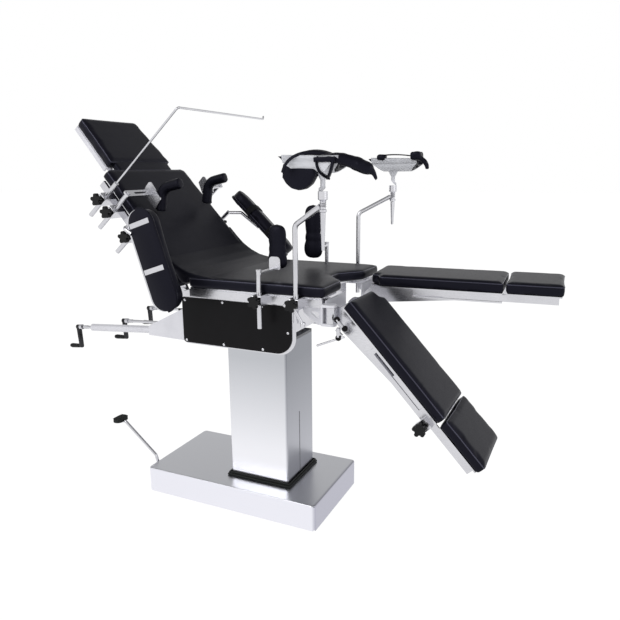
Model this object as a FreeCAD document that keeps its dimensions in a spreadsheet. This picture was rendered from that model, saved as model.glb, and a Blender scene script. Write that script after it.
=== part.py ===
import FreeCAD, Part
import math
import os
import re
import Sketcher
from FreeCAD import Placement, Rotation, Vector

# Operating table with a sectioned top, stirrups and side accessories, in millimetres.
# X runs along the table towards the foot end, Z is up, and the origin is on the floor
# under the middle of the base.

SIZES = {
    # base and column
    "base_length": 698, "base_width": 380, "base_top": 100, "base_wall": 2.5, "base_round": 14,
    "foot_gap": 6, "foot_radius": 24, "foot_inset": 34, "chassis_bottom": 12, "chassis_plate": 14,
    "column_x": 90, "column_length": 234, "column_width": 210, "column_wall": 2, "column_top": 624,
    "column_round": 5, "column_start": 104, "skirt_lip": 11, "skirt_height": 26,
    "inner_gap": 2, "inner_wall": 3, "inner_top": 540,
    "ram_radius": 25, "ram_gap": 1, "cylinder_radius": 44, "cylinder_top": 420, "lift_travel": 250,
    "carriage_length": 170, "carriage_width": 150, "carriage_wall": 5, "carriage_bottom": 300,
    # foot pump
    "pedal_y": -120, "pedal_pivot_x": -305, "pedal_pivot_z": 60, "pedal_rod": 6, "pedal_hub": 13,
    "pump_length": 120, "pump_width": 60, "pump_height": 40,
    # tilt head
    "trunnion_z": 680, "axle_z": 735, "trunnion_radius": 15, "fork_inner": 44.5, "ear_plate": 22,
    "ear_radius": 28, "lug_inner": 38.5, "lug_plate": 20, "turn_gap": 0.06, "face_gap": 0.5,
    # seat frame
    "seat_top": 862, "pad_thick": 35, "pad_clear": 0.3, "seat_head": -78, "seat_foot": 412, "seat_half": 250,
    "board_thick": 5, "bar_height": 25, "bar_width": 22, "bar_outer": 212, "rail_outer": 243,
    "rail_thick": 10, "rail_height": 25, "notch_head": 347, "notch_prong": 107, "notch_half": 25,
    "frame_head": -86, "panel_head": -131, "panel_foot": 285, "panel_low": 628, "panel_high": 786,
    "panel_thick": 3, "panel_corner": 56, "plate_margin": 13,
    # foot end brackets and leg sections
    "leg_pivot_x": 432, "leg_pivot_y": 244, "leg_axis_z": 780, "leg_gap": 12, "leg_start": 5,
    "leg_main": 435, "leg_split": 4, "leg_extension": 170, "leg_inset": 6, "leg_width": 232,
    "near_flex": 47.5, "near_splay": 0, "far_flex": 0, "far_splay": 3.4, "yoke_radius": 17,
    "yoke_half": 24, "cross_radius": 9, "slide_height": 22, "slide_thick": 6,
    # back and head sections
    "back_x": -140, "back_z": 800, "back_angle": 49, "back_start": 2, "back_end": 492,
    "back_low_half": 242, "back_high_half": 221, "back_step": 120, "head_along": 507, "head_up": 24,
    "head_angle": 47, "head_start": 15, "head_end": 231, "head_low_half": 165, "head_high_half": 147,
    "hinge_radius": 14, "hinge_pin": 8, "rail_y": 238,
    # accessories
    "post_y": 262, "post_radius": 8, "screen_along": 403, "shoulder_along": 348, "arm_along": 242,
    "clamp_length": 30, "clamp_depth": 36, "clamp_height": 34, "clamp_gap": 0.3, "knob_radius": 21,
    "screen_height": 440, "screen_span": 535, "support_x": 198, "support_top": 900,
    "crutch_x": 325, "crutch_bend": 1045, "crutch_end_x": 430, "crutch_end_y": 311,
    "crutch_end_z": 1119, "gutter_radius": 58, "gutter_length": 165, "gutter_wall": 4,
    "board_length": 335, "board_width": 104, "board_pad": 38,
    # cranks
    "crank_y": 100, "crank_arm": 62, "crank_long_x": -732, "crank_long_z": 593,
    "crank_mid_x": -584, "crank_mid_z": 610, "crank_short_x": -535, "crank_short_z": 646,
    "housing_x": -359, "tube_radius": 14, "grip_radius": 9,
    "crank_rise": 4.1,
}

doc = FreeCAD.newDocument("operating_table")
sheet = doc.addObject("Spreadsheet::Sheet", "Sizes")
for row, (alias, size) in enumerate(SIZES.items(), 1):
    sheet.set(f"A{row}", alias)
    sheet.set(f"B{row}", str(size))
    sheet.setAlias(f"B{row}", alias)
doc.recompute()

NODES = []
BACK_MID = "seat_top - pad_thick - back_z - 5 - bar_height / 2"
SEAT_MID = "seat_top - pad_thick - board_thick - bar_height / 2"
AXES = {"X": Vector(1, 0, 0), "Y": Vector(0, 1, 0), "Z": Vector(0, 0, 1)}
SIDES = {"near": -1, "far": 1}


def formula(text):
    """The text with each size name pointing at its cell."""
    return re.sub(r"[a-z][a-z_]*", lambda word: "Sizes." + word.group()
                  if word.group() in SIZES else word.group(), str(text))


def number(text):
    """The present value of a formula."""
    return float(sheet.evalExpression(formula(text)))


def point(x, y, z):
    return Vector(number(x), number(y), number(z))


def bind(item, prop, text):
    """Ties a property to the sizes that the text names."""
    item.setExpression(prop, formula(text))


# Sketched solids

def new_body(name):
    body = doc.addObject("PartDesign::Body", name)
    body.Label = name
    return body


def new_sketch(body, plane, offset):
    sketch = body.newObject("Sketcher::SketchObject", "Outline")
    base = next(item for item in body.Origin.OriginFeatures if item.Role == plane + "_Plane")
    sketch.AttachmentSupport = (base, [""])
    sketch.MapMode = "FlatFace"
    sign = "-1 * " if plane == "XZ" else ""
    bind(sketch, "AttachmentOffset.Base.z", f"{sign}({offset})")
    return sketch


def fix_point(sketch, shape, vertex, x, y):
    """Holds a vertex at its formulas."""
    for kind, text in (("DistanceX", x), ("DistanceY", y)):
        index = sketch.addConstraint(Sketcher.Constraint(kind, -1, 1, shape, vertex, number(text)))
        sketch.setExpression(f"Constraints[{index}]", formula(text))


def polygon(sketch, corners):
    """A closed run of straight lines through the corners."""
    spots = [Vector(number(corner[0]), number(corner[1]), 0) for corner in corners]
    count = len(spots)
    for index in range(count):
        sketch.addGeometry(Part.LineSegment(spots[index], spots[(index + 1) % count]))
    for index in range(count):
        sketch.addConstraint(Sketcher.Constraint("Coincident", index, 2, (index + 1) % count, 1))
    for index, corner in enumerate(corners):
        fix_point(sketch, index, 1, corner[0], corner[1])


def circle(sketch, x, y, radius):
    """A circle held at its centre and radius."""
    shape = Part.Circle(Vector(number(x), number(y), 0), Vector(0, 0, 1), number(radius))
    geometry = sketch.addGeometry(shape)
    fix_point(sketch, geometry, 3, x, y)
    index = sketch.addConstraint(Sketcher.Constraint("Radius", geometry, number(radius)))
    sketch.setExpression(f"Constraints[{index}]", formula(radius))


def draw(sketch, outline):
    if isinstance(outline, tuple):
        circle(sketch, *outline)
    else:
        polygon(sketch, outline)


def round_corners(body, feature, plane, outline):
    """Rounds the corners that have a third value, along the whole depth."""
    across = {"XY": ("x", "y"), "XZ": ("x", "z"), "YZ": ("y", "z")}[plane]
    if isinstance(outline, tuple):
        return feature
    for radius in dict.fromkeys(corner[2] for corner in outline if len(corner) > 2):
        spots = [(number(c[0]), number(c[1])) for c in outline if len(c) > 2 and c[2] == radius]
        names = []
        for index, edge in enumerate(feature.Shape.Edges, 1):
            ends = [(getattr(v.Point, across[0]), getattr(v.Point, across[1])) for v in edge.Vertexes]
            if len(ends) == 2 and any(math.dist(e, s) < 0.01 for s in spots for e in ends[:1]):
                if math.dist(ends[0], ends[1]) < 0.001:
                    names.append(f"Edge{index}")
        if names:
            feature = fillet(body, feature, names, radius)
    return feature


def fillet(body, feature, names, radius):
    rounding = body.newObject("PartDesign::Fillet", "Rounding")
    rounding.Base = (feature, names)
    bind(rounding, "Radius", radius)
    doc.recompute()
    return rounding


def feature_of(kind, body, plane, outline, depth, offset):
    """A pad or pocket, even on both sides of its sketch."""
    sketch = new_sketch(body, plane, offset)
    draw(sketch, outline)
    feature = body.newObject("PartDesign::" + kind, kind)
    feature.Profile = sketch
    feature.SideType = "Symmetric"
    bind(feature, "Length", depth)
    doc.recompute()
    return round_corners(body, feature, plane, outline)


def add(body, plane, outline, depth, offset="0"):
    return feature_of("Pad", body, plane, outline, depth, offset)


def cut(body, plane, outline, depth, offset="0"):
    return feature_of("Pocket", body, plane, outline, depth, offset)


def prism(name, plane, outline, depth, offset="0"):
    """A body of one outline with depth."""
    body = new_body(name)
    add(body, plane, outline, depth, offset)
    return body


def turned(name, profile):
    """A body turned about its own Z from (radius, height) corners."""
    body = new_body(name)
    sketch = new_sketch(body, "XZ", "0")
    polygon(sketch, profile)
    turn = body.newObject("PartDesign::Revolution", "Turning")
    turn.Profile = sketch
    turn.ReferenceAxis = (sketch, ["V_Axis"])
    turn.Angle = 360
    doc.recompute()
    return body


def soften(body, radius, low, high, axis="z"):
    """Rounds the edges that lie wholly between two heights."""
    feature = body.Tip
    names = []
    for index, edge in enumerate(feature.Shape.Edges, 1):
        box = edge.BoundBox
        bottom, top = getattr(box, axis.upper() + "Min"), getattr(box, axis.upper() + "Max")
        if bottom > number(low) - 0.01 and top < number(high) + 0.01:
            names.append(f"Edge{index}")
    fillet(body, feature, names, radius)
    return body


def rectangle(x_low, x_high, y_low, y_high, radius=None):
    corners = [(x_low, y_low), (x_high, y_low), (x_high, y_high), (x_low, y_high)]
    return [corner + (radius,) for corner in corners] if radius else corners


def middle(x, length, y, width, radius=None):
    """A rectangle about its centre."""
    return rectangle(f"{x} - ({length}) / 2", f"{x} + ({length}) / 2",
                     f"{y} - ({width}) / 2", f"{y} + ({width}) / 2", radius)


# Placed solids

def place(item, x="0", y="0", z="0", axis="Y", angle="0"):
    """Puts a solid at its formulas, turned about one axis."""
    item.Placement = Placement(Vector(), Rotation(AXES[axis], 1))
    for name, text in zip("xyz", (x, y, z)):
        bind(item, f"Placement.Base.{name}", text)
    bind(item, "Placement.Rotation.Angle", angle)
    return item


def node(name, *pieces):
    """One named sub-part of the table: a solid, or a group of separate ones."""
    if len(pieces) == 1:
        pieces[0].Label = name
        NODES.append(pieces[0])
        return pieces[0]
    group = doc.addObject("Part::Compound", name)
    group.Label = name
    group.Links = list(pieces)
    NODES.append(group)
    return group


def bent_rod(name, corners, radius, bend):
    """A round rod along straight runs joined by tangent arcs."""
    spots = [point(*corner) for corner in corners]
    edges, start = [], spots[0]
    for before, corner, after in zip(spots, spots[1:], spots[2:]):
        one, two = (before - corner).normalize(), (after - corner).normalize()
        reach = bend / math.tan(one.getAngle(two) / 2)
        first, last = corner + one * reach, corner + two * reach
        bisector = (one + two).normalize()
        crown = corner + bisector * (math.hypot(bend, reach) - bend)
        edges += [Part.LineSegment(start, first).toShape(), Part.Arc(first, crown, last).toShape()]
        start = last
    edges.append(Part.LineSegment(start, spots[-1]).toShape())
    path = Part.Wire(edges)
    ring = Part.Wire([Part.makeCircle(radius, spots[0], spots[1] - spots[0])])
    rod = doc.addObject("Part::Feature", name)
    rod.Shape = path.makePipeShell([ring], True, True)
    return rod


def joined(name, *pieces):
    """Overlapping pieces made into one solid."""
    whole = doc.addObject("Part::MultiFuse", name)
    whole.Shapes = list(pieces)
    whole.Refine = True
    doc.recompute()
    return whole


def bar(name, start, length, radius, axis):
    """A round bar from a point along an axis."""
    item = doc.addObject("Part::Cylinder", name)
    bind(item, "Radius", radius)
    bind(item, "Height", length)
    spin = {"X": Rotation(AXES["Y"], 90), "Y": Rotation(AXES["X"], -90), "Z": Rotation()}[axis]
    item.Placement = Placement(Vector(), spin)
    for name, text in zip("xyz", start):
        bind(item, f"Placement.Base.{name}", text)
    return item


# Base, lift and foot pump

def make_base():
    cover_height = "base_top - foot_gap"
    cover = prism("base_cover", "XY", middle("0", "base_length", "0", "base_width", "base_round"),
                  cover_height, "(base_top + foot_gap) / 2")
    soften(cover, "4", "base_top", "base_top")
    cut(cover, "XY", middle("0", "base_length - 2 * base_wall", "0", "base_width - 2 * base_wall",
                            "base_round - base_wall"), f"{cover_height} - base_wall",
        "(base_top + foot_gap - base_wall) / 2")
    cut(cover, "XY", middle("column_x", "column_length - 2 * column_wall", "0",
                            "column_width - 2 * column_wall"), "20", "base_top")
    cut(cover, "YZ", rectangle("pedal_y - 12", "pedal_y + 12", "45", "base_top - 4"), "40",
        "-base_length / 2")
    node("base_cover", cover)

    inner = "base_wall + 0.4"
    chassis = prism("chassis_tray", "XY", middle("0", f"base_length - 2 * ({inner})", "0",
                                               f"base_width - 2 * ({inner})", "base_round"),
                    "chassis_plate", "chassis_bottom + chassis_plate / 2")
    post_height = "base_top - base_wall - chassis_bottom - chassis_plate"
    for sx in (-1, 1):
        for sy in (-1, 1):
            add(chassis, "XY", (f"{sx} * (base_length / 2 - foot_inset)",
                                f"{sy} * (base_width / 2 - foot_inset)", "12"), post_height,
                f"base_top - base_wall - ({post_height}) / 2")
    for sy in (-1, 1):
        add(chassis, "XY", middle("column_x", "column_length + 60", f"{sy} * (column_width / 2 + 8)", "10"),
            "20", "chassis_bottom + chassis_plate + 10")
    play = "2 * (column_wall + inner_gap)"
    inner_column = sleeve("inner_column", f"column_length - {play}", f"column_width - {play}",
                          "inner_wall", "chassis_bottom + chassis_plate", "inner_top")
    node("chassis", chassis, inner_column)

    feet = []
    for sx, sy in ((-1, -1), (-1, 1), (0, 0), (1, -1), (1, 1)):
        foot = turned("foot", [("0", "0"), ("foot_radius", "0"), ("foot_radius", "4"),
                               ("foot_radius - 8", "8"), ("7", "8"), ("7", "chassis_bottom"),
                               ("0", "chassis_bottom")])
        feet.append(place(foot, f"{sx} * (base_length / 2 - foot_inset)",
                          f"{sy} * (base_width / 2 - foot_inset)"))
    node("levelling_feet", *feet)


def sleeve(name, length, width, wall, low, high, radius="column_round"):
    """A box-section sleeve round the column's axis."""
    body = prism(name, "XY", middle("column_x", length, "0", width, radius),
                 f"({high}) - ({low})", f"(({high}) + ({low})) / 2")
    cut(body, "XY", middle("column_x", f"({length}) - 2 * ({wall})", "0", f"({width}) - 2 * ({wall})"),
        f"({high}) - ({low}) + 2", f"(({high}) + ({low})) / 2")
    return body


def make_column():
    lip = "2 * skirt_lip + 2"
    skirt = sleeve("column_skirt", f"column_length + {lip}", f"column_width + {lip}", "skirt_lip",
                   "base_top", "base_top + skirt_height", "9")
    groove = f"base_top + skirt_height / 2"
    soften(skirt, "4", "base_top + skirt_height", "base_top + skirt_height")
    waist = "6"
    cut(skirt, "YZ", [(f"-column_width / 2 - skirt_lip - 4", f"{groove} - 3"),
                      (f"-column_width / 2 - skirt_lip + {waist} - 2", groove),
                      (f"-column_width / 2 - skirt_lip - 4", f"{groove} + 3")],
        "column_length + 80", "column_x")
    cut(skirt, "YZ", [(f"column_width / 2 + skirt_lip + 4", f"{groove} - 3"),
                      (f"column_width / 2 + skirt_lip + 4", f"{groove} + 3"),
                      (f"column_width / 2 + skirt_lip - {waist} + 2", groove)],
        "column_length + 80", "column_x")
    for s in (-1, 1):
        face = f"column_x + {s} * (column_length / 2 + skirt_lip"
        corners = [(f"{face} + 4)", f"{groove} - 3"), (f"{face} - {waist} + 2)", groove),
                   (f"{face} + 4)", f"{groove} + 3")]
        cut(skirt, "XZ", corners, "column_width + 80")
    node("column_skirt", skirt)

    barrel_low = "chassis_bottom + chassis_plate"
    barrel = prism("cylinder_barrel", "XY", ("column_x", "0", "cylinder_radius"),
                   f"cylinder_top - ({barrel_low})", f"(cylinder_top + {barrel_low}) / 2")
    add(barrel, "XY", ("column_x", "0", "cylinder_radius + 14"), "12", f"{barrel_low} + 6")
    add(barrel, "XY", ("column_x", "0", "cylinder_radius + 4"), "18", "cylinder_top - 9")
    cut(barrel, "XY", ("column_x", "0", "ram_radius + ram_gap"), f"2 * (cylinder_top - {barrel_low} - 20)",
        "cylinder_top")
    pump = prism("pump_block", "XY", middle("pedal_pivot_x + 45 + pump_length / 2", "pump_length",
                                            "pedal_y", "pump_width", "6"),
                 "pump_height", f"{barrel_low} + pump_height / 2")
    for s in (-1, 1):
        add(pump, "XZ", [("pedal_pivot_x - 14", "pedal_pivot_z - 14", "13"),
                         ("pedal_pivot_x + 50", barrel_low), ("pedal_pivot_x + 50", "pedal_pivot_z + 6"),
                         ("pedal_pivot_x - 14", "pedal_pivot_z + 14", "13")], "8",
            f"pedal_y + {s} * 14.5")
    add(pump, "XZ", ("pedal_pivot_x", "pedal_pivot_z", "6"), "34", "pedal_y")
    node("hydraulic_unit", barrel, pump)


def make_pedal():
    end_z = "pedal_pivot_z + 172"
    rod = bent_rod("pedal_rod", [("pedal_pivot_x - pedal_hub + 4", "pedal_y", "pedal_pivot_z + 3"),
                                 ("pedal_pivot_x - 50", "pedal_y", "pedal_pivot_z + 14"),
                                 ("pedal_pivot_x - 62", "pedal_y", "pedal_pivot_z + 56"),
                                 ("pedal_pivot_x - 203", "pedal_y", end_z),
                                 ("pedal_pivot_x - 245", "pedal_y", end_z)], number("pedal_rod"), 10)
    hub = prism("pedal_hub_boss", "XZ", ("pedal_pivot_x", "pedal_pivot_z", "pedal_hub"), "20", "pedal_y")
    lever = joined("pedal_arm", hub, rod)
    bore = bar("pedal_bore", ("pedal_pivot_x", "pedal_y - 20", "pedal_pivot_z"), "40",
               "6 + turn_gap", "Y")
    arm = doc.addObject("Part::Cut", "pedal_lever")
    arm.Base, arm.Tool = lever, bore
    node("pedal_lever", arm)

    pad = prism("pedal_pad", "XY", middle("pedal_pivot_x - 229", "40", "pedal_y", "62", "19"), "14",
                f"{end_z} + 7")
    soften(pad, "3", f"{end_z} + 14", f"{end_z} + 14")
    cut(pad, "YZ", ("pedal_y", end_z, "pedal_rod + 0.2"), "50", "pedal_pivot_x - 229")
    node("pedal_pad", pad)


def make_lift():
    """What rises with the top: cover, carriage tube, ram and the tilt fork."""
    cover = sleeve("column_cover", "column_length", "column_width", "column_wall",
                   "column_start", "column_top")
    node("column_cover", cover)

    head = prism("carriage_head", "XY", middle("column_x", "column_length", "0", "column_width",
                                               "column_round"), "10", "column_top + 5")
    add(head, "XY", middle("column_x", "carriage_length", "0", "carriage_width"),
        "column_top - carriage_bottom", "(column_top + carriage_bottom) / 2")
    cut(head, "XY", middle("column_x", "carriage_length - 2 * carriage_wall", "0",
                           "carriage_width - 2 * carriage_wall"),
        "2 * (column_top - carriage_bottom)", "carriage_bottom")
    for s in (-1, 1):
        ear = f"{s} * (fork_inner + ear_plate / 2)"
        add(head, "XZ", [("column_x - ear_radius", "column_top + 8"),
                         ("column_x + ear_radius", "column_top + 8"),
                         ("column_x + ear_radius", "trunnion_z + ear_radius", "ear_radius - 1"),
                         ("column_x - ear_radius", "trunnion_z + ear_radius", "ear_radius - 1")],
            "ear_plate", ear)
    cut(head, "XZ", ("column_x", "trunnion_z", "trunnion_radius + turn_gap"), "4 * fork_inner")
    ram = bar("lift_ram", ("column_x", "0", "carriage_bottom - 160"), "column_top - carriage_bottom + 160",
              "ram_radius", "Z")
    node("lift_carriage", head, ram)


def make_cradle():
    """The gimbal between column and top: one pair of trunnions across, one along."""
    block = prism("tilt_cradle", "XZ", middle("column_x", "2 * lug_inner - 2 * face_gap",
                                              "(trunnion_z + axle_z) / 2", "axle_z - trunnion_z + 44", "8"),
                  "2 * fork_inner - 2 * face_gap")
    add(block, "XZ", ("column_x", "trunnion_z", "trunnion_radius"), "2 * (fork_inner + ear_plate)")
    add(block, "YZ", ("0", "axle_z", "trunnion_radius"), "2 * (lug_inner + lug_plate)", "column_x")
    node("tilt_cradle", block)


# Seat section

def seat_outline(margin):
    """The seat's plan with the open notch between its two foot-end prongs."""
    half = f"seat_half - {margin}"
    return [("seat_head", f"-({half})"), (f"seat_foot - {margin}", f"-({half})"),
            (f"seat_foot - {margin}", f"-notch_prong - {margin}"),
            (f"notch_head - {margin}", f"-notch_half"), (f"notch_head - {margin}", f"notch_half"),
            (f"seat_foot - {margin}", f"notch_prong + {margin}"),
            (f"seat_foot - {margin}", half), ("seat_head", half)]


def make_seat():
    low = "seat_top - pad_thick"
    pad = prism("seat_pad", "XY", seat_outline("0"), "pad_thick - pad_clear",
                "seat_top - (pad_thick - pad_clear) / 2")
    soften(pad, "8", "seat_top", "seat_top")
    node("seat_pad", pad)

    board = f"{low} - board_thick"
    frame = prism("seat_board", "XY", seat_outline("14"), "board_thick", f"{low} - board_thick / 2")
    bar_mid = f"{board} - bar_height / 2"
    for s in (-1, 1):
        side = f"{s} * (bar_outer - bar_width / 2)"
        add(frame, "XY", middle("(frame_head + seat_foot - 4) / 2", "seat_foot - 4 - frame_head", side,
                                "bar_width"), "bar_height", bar_mid)
    for x in ("panel_head + 60", "column_x - lug_inner - lug_plate / 2",
              "column_x + lug_inner + lug_plate / 2", "panel_foot + 3"):
        add(frame, "XY", middle(x, "lug_plate", "0", "2 * bar_outer - 4"), "bar_height", bar_mid)
    side_plates(frame, board)
    for s in (-1, 1):
        add(frame, "YZ", [("-ear_radius", f"{board} - 4"), ("-ear_radius", "axle_z - ear_radius", "ear_radius - 1"),
                          ("ear_radius", "axle_z - ear_radius", "ear_radius - 1"),
                          ("ear_radius", f"{board} - 4")], "lug_plate",
            f"column_x + {s} * (lug_inner + lug_plate / 2)")
    cut(frame, "YZ", ("0", "axle_z", "trunnion_radius + turn_gap"), "4 * lug_inner", "column_x")
    for s in (-1, 1):
        for x in ("frame_head + 30", "column_x + 30", "seat_foot - 40"):
            add(frame, "XY", middle(x, "22", f"{s} * (bar_outer + rail_outer - rail_thick) / 2",
                                    "rail_outer - rail_thick - bar_outer"), "14", bar_mid)
        ears_at_back(frame, s, board)

    rails = []
    for s in (-1, 1):
        rails.append(prism("seat_rail", "XY", middle("(frame_head + seat_foot) / 2",
                                                     "seat_foot - frame_head - 18", f"{s} * rail_y",
                                                     "rail_thick"), "rail_height", bar_mid))
    node("table_frame", frame, *rails)


def side_plates(frame, board):
    """Steel side plates and cross plates that make the body box under the seat."""
    for s in (-1, 1):
        add(frame, "XZ", [("panel_head + 3", "panel_low - 4", "12"),
                          ("panel_foot + plate_margin", "panel_low - 4", "panel_corner + 6"),
                          ("panel_foot + plate_margin", board), ("frame_head + 8", board),
                          ("back_x + 22", "back_z + 6"), ("panel_head + 3", "back_z + 6")],
            "panel_thick", f"{s} * (bar_outer - panel_thick / 2)")
    add(frame, "YZ", rectangle("-bar_outer + 1", "bar_outer - 1", "panel_low", "back_z - 20"),
        "4", "panel_head + 5")
    add(frame, "YZ", rectangle("-bar_outer + 1", "bar_outer - 1", "trunnion_z + 20", f"{board} - 1"),
        "4", "panel_foot + 3")


def ears_at_back(frame, s, board):
    """The ear that carries the back section, with its stub axle."""
    place_y = f"{s} * 199"
    add(frame, "XZ", [("back_x - hinge_radius", "back_z - hinge_radius", "hinge_radius - 1"),
                      ("frame_head + 20", "back_z - hinge_radius"),
                      ("frame_head + 20", board), ("frame_head + 6", f"{board} - 3"),
                      ("back_x + 24", "back_z + 8"), ("back_x + 12", "back_z + hinge_radius"),
                      ("back_x - hinge_radius", "back_z + hinge_radius", "hinge_radius - 1")], "12", place_y)
    add(frame, "XZ", ("back_x", "back_z", "hinge_pin"), "18", f"{s} * 184")


def make_panels():
    panels = []
    for s in (-1, 1):
        panels.append(prism("side_panel", "XZ", [
            ("panel_head", "panel_low", "12"), ("panel_foot", "panel_low", "panel_corner"),
            ("panel_foot", "panel_high", "5"), ("panel_head", "panel_high", "5")], "panel_thick",
            f"{s} * (bar_outer + panel_thick / 2)"))
    node("side_panels", *panels)


# Foot end brackets and leg sections

def make_leg_brackets():
    """Folded plates at the two prongs, with the pivot lugs for the leg sections."""
    pieces = []
    high = "seat_top - pad_thick - board_thick - bar_height"
    for s in (-1, 1):
        face = "seat_foot - 2"
        piece = prism("leg_bracket", "YZ", [
            (f"{s} * (bar_outer + 20)", f"{high} - 54", "10"), (f"{s} * (notch_prong - 33)", f"{high} - 46", "6"),
            (f"{s} * (notch_prong - 33)", f"{high} + bar_height - 2"),
            (f"{s} * (bar_outer + 20)", f"{high} + bar_height - 2")], "4", face)
        cut(piece, "YZ", [(f"{s} * 206", f"{high} - 18", "5"), (f"{s} * 160", f"{high} - 32", "5"),
                          (f"{s} * 160", f"{high} + 4", "5")], "12", face)
        add(piece, "XZ", [("panel_foot + 45", f"{high} - 0.5"), ("panel_foot + 52", f"{high} - 20", "8"),
                          ("seat_foot - 30", f"{high} - 54", "8"), (face, f"{high} - 54"),
                          (face, f"{high} - 0.5")], "4", f"{s} * (bar_outer + 18)")
        cut(piece, "XZ", [("panel_foot + 70", f"{high} - 14", "4"), ("seat_foot - 24", f"{high} - 40", "6"),
                          ("seat_foot - 24", f"{high} - 14", "4")], "12", f"{s} * (bar_outer + 18)")
        for z in (f"leg_axis_z - yoke_half - 4.5", f"leg_axis_z + yoke_half + 4.5"):
            add(piece, "XY", [("seat_foot - 4", f"{s} * (leg_pivot_y - yoke_radius)"),
                              ("leg_pivot_x + yoke_radius", f"{s} * (leg_pivot_y - yoke_radius)", "yoke_radius - 1"),
                              ("leg_pivot_x + yoke_radius", f"{s} * (leg_pivot_y + yoke_radius)", "yoke_radius - 1"),
                              ("seat_foot - 4", f"{s} * (leg_pivot_y + yoke_radius)")], "8", z)
        add(piece, "YZ", [(f"{s} * (leg_pivot_y + yoke_radius)", "leg_axis_z - yoke_half - 8.5"),
                          (f"{s} * (bar_outer + 10)", "leg_axis_z - yoke_half - 8.5"),
                          (f"{s} * (bar_outer + 10)", "leg_axis_z + yoke_half + 8.5"),
                          (f"{s} * (leg_pivot_y + yoke_radius)", "leg_axis_z + yoke_half + 8.5")],
            "6", "seat_foot - 3")
        add(piece, "XY", ("leg_pivot_x", f"{s} * leg_pivot_y", "7"), "2 * yoke_half + 12", "leg_axis_z")
        pieces.append(piece)
    node("leg_brackets", *pieces)


def leg_frame_of(side, item, flex):
    """Moves a solid from the leg's own frame to its place on the table."""
    s = SIDES[side]
    turn = Rotation(AXES["Z"], s * number(f"{side}_splay"))
    if flex:
        turn = turn * Rotation(AXES["Y"], number(f"{side}_flex"))
    item.Placement = Placement(point("leg_pivot_x", f"{s} * leg_pivot_y", "leg_axis_z"), turn)
    return item


def make_leg(side):
    """One leg section: pivot yoke, plate frame, pad, sliding rail and foot pad."""
    s = SIDES[side]

    def inward(text):
        return f"{-s} * ({text})"

    yoke = prism("leg_yoke", "XY", ("0", "0", "yoke_radius"), "2 * yoke_half")
    add(yoke, "XZ", ("0", "0", "cross_radius"), "leg_width - 50", inward("(leg_width - 50) / 2"))
    cut(yoke, "XY", ("0", "0", "7 + turn_gap"), "4 * yoke_half")
    leg_frame_of(side, yoke, False)
    node(f"leg_yoke_{side}", yoke)

    top = "seat_top - leg_axis_z"
    under = f"{top} - pad_thick"
    plate_end = "leg_start + leg_main - 4"
    frame = prism("leg_frame", "XY", [
        ("leg_start + 4", inward("-leg_inset + 6")), (plate_end, inward("-leg_inset + 6")),
        (plate_end, inward("leg_width - 6")), ("leg_start + 44", inward("leg_width - 6")),
        ("leg_start + 4", inward("leg_width - 46"))], "4", f"{under} - 2")
    for t in ("24", "leg_width - 52"):
        add(frame, "XZ", [("-15", "-14", "12"), ("60", "-14"), (plate_end, f"{under} - 26"),
                          (plate_end, f"{under} - 3"), ("leg_start + 6", f"{under} - 3"),
                          ("-15", "16", "14")], "6", inward(t))
        cut(frame, "XZ", ("0", "0", "cross_radius + turn_gap"), "8", inward(t))
    add(frame, "XY", middle("leg_start + 120", "8", inward("leg_width / 2 - 14"), "leg_width - 76"),
        "20", f"{under} - 14")
    for t in ("4", "leg_width - 20"):
        add(frame, "XY", rectangle("leg_start + 150", plate_end, inward(f"{t} - 3"), inward(f"{t} + 9")), "5",
            f"{under} - slide_height - 7.5")
        add(frame, "XY", rectangle("leg_start + 150", plate_end, inward(f"{t} - 3"), inward(f"{t} - 1")),
            "slide_height + 7", f"{under} - (slide_height + 9) / 2 - 1.5")
    clamp_box(frame, inward, plate_end, under)
    leg_frame_of(side, frame, True)
    node(f"leg_frame_{side}", frame)

    pad = prism("leg_pad", "XY", [
        ("leg_start", inward("-leg_inset")), ("leg_start + leg_main", inward("-leg_inset")),
        ("leg_start + leg_main", inward("leg_width")), ("leg_start + 40", inward("leg_width")),
        ("leg_start + 26", inward("leg_width - 36")), ("leg_start", inward("leg_width - 50"))],
        "pad_thick - pad_clear", f"{top} - (pad_thick - pad_clear) / 2")
    soften(pad, "8", top, top)
    leg_frame_of(side, pad, True)
    node(f"leg_pad_{side}", pad)

    foot = "leg_start + leg_main + leg_split"
    foot_end = f"{foot} + leg_extension"
    rails = prism("foot_rail", "XY", rectangle(f"{foot} + 6", f"{foot_end} - 6", inward("0"),
                                               inward("leg_width - 6")), "4", f"{under} - 2")
    for t in ("4", "leg_width - 20"):
        add(rails, "XY", rectangle(f"{foot} - 190", f"{foot_end} - 14", inward(f"{t} + 0.4"),
                                   inward(f"{t} + slide_thick + 0.4")), "slide_height",
            f"{under} - 4.5 - slide_height / 2")
        add(rails, "XY", rectangle(f"{foot} + 8", f"{foot_end} - 14", inward(f"{t} + 0.4"),
                                   inward(f"{t} + slide_thick + 0.4")), "3", f"{under} - 3")
    leg_frame_of(side, rails, True)
    node(f"foot_rail_{side}", rails)

    foot_pad = prism("foot_pad", "XY", rectangle(foot, foot_end, inward("-leg_inset"),
                                                 inward("leg_width")), "pad_thick - pad_clear",
                     f"{top} - (pad_thick - pad_clear) / 2")
    soften(foot_pad, "8", top, top)
    leg_frame_of(side, foot_pad, True)
    node(f"foot_pad_{side}", foot_pad)

    knob = star_knob("leg_knob")
    knob.Placement = Placement(point(f"{plate_end} - 18", inward("-leg_inset - 8"),
                                     f"{under} - slide_height - 18"), Rotation(AXES["X"], 90 * -s))
    turned_knob = doc.addObject("Part::Compound", "leg_knob_placed")
    turned_knob.Links = [knob]
    leg_frame_of(side, turned_knob, True)
    node(f"leg_knob_{side}", turned_knob)


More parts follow.
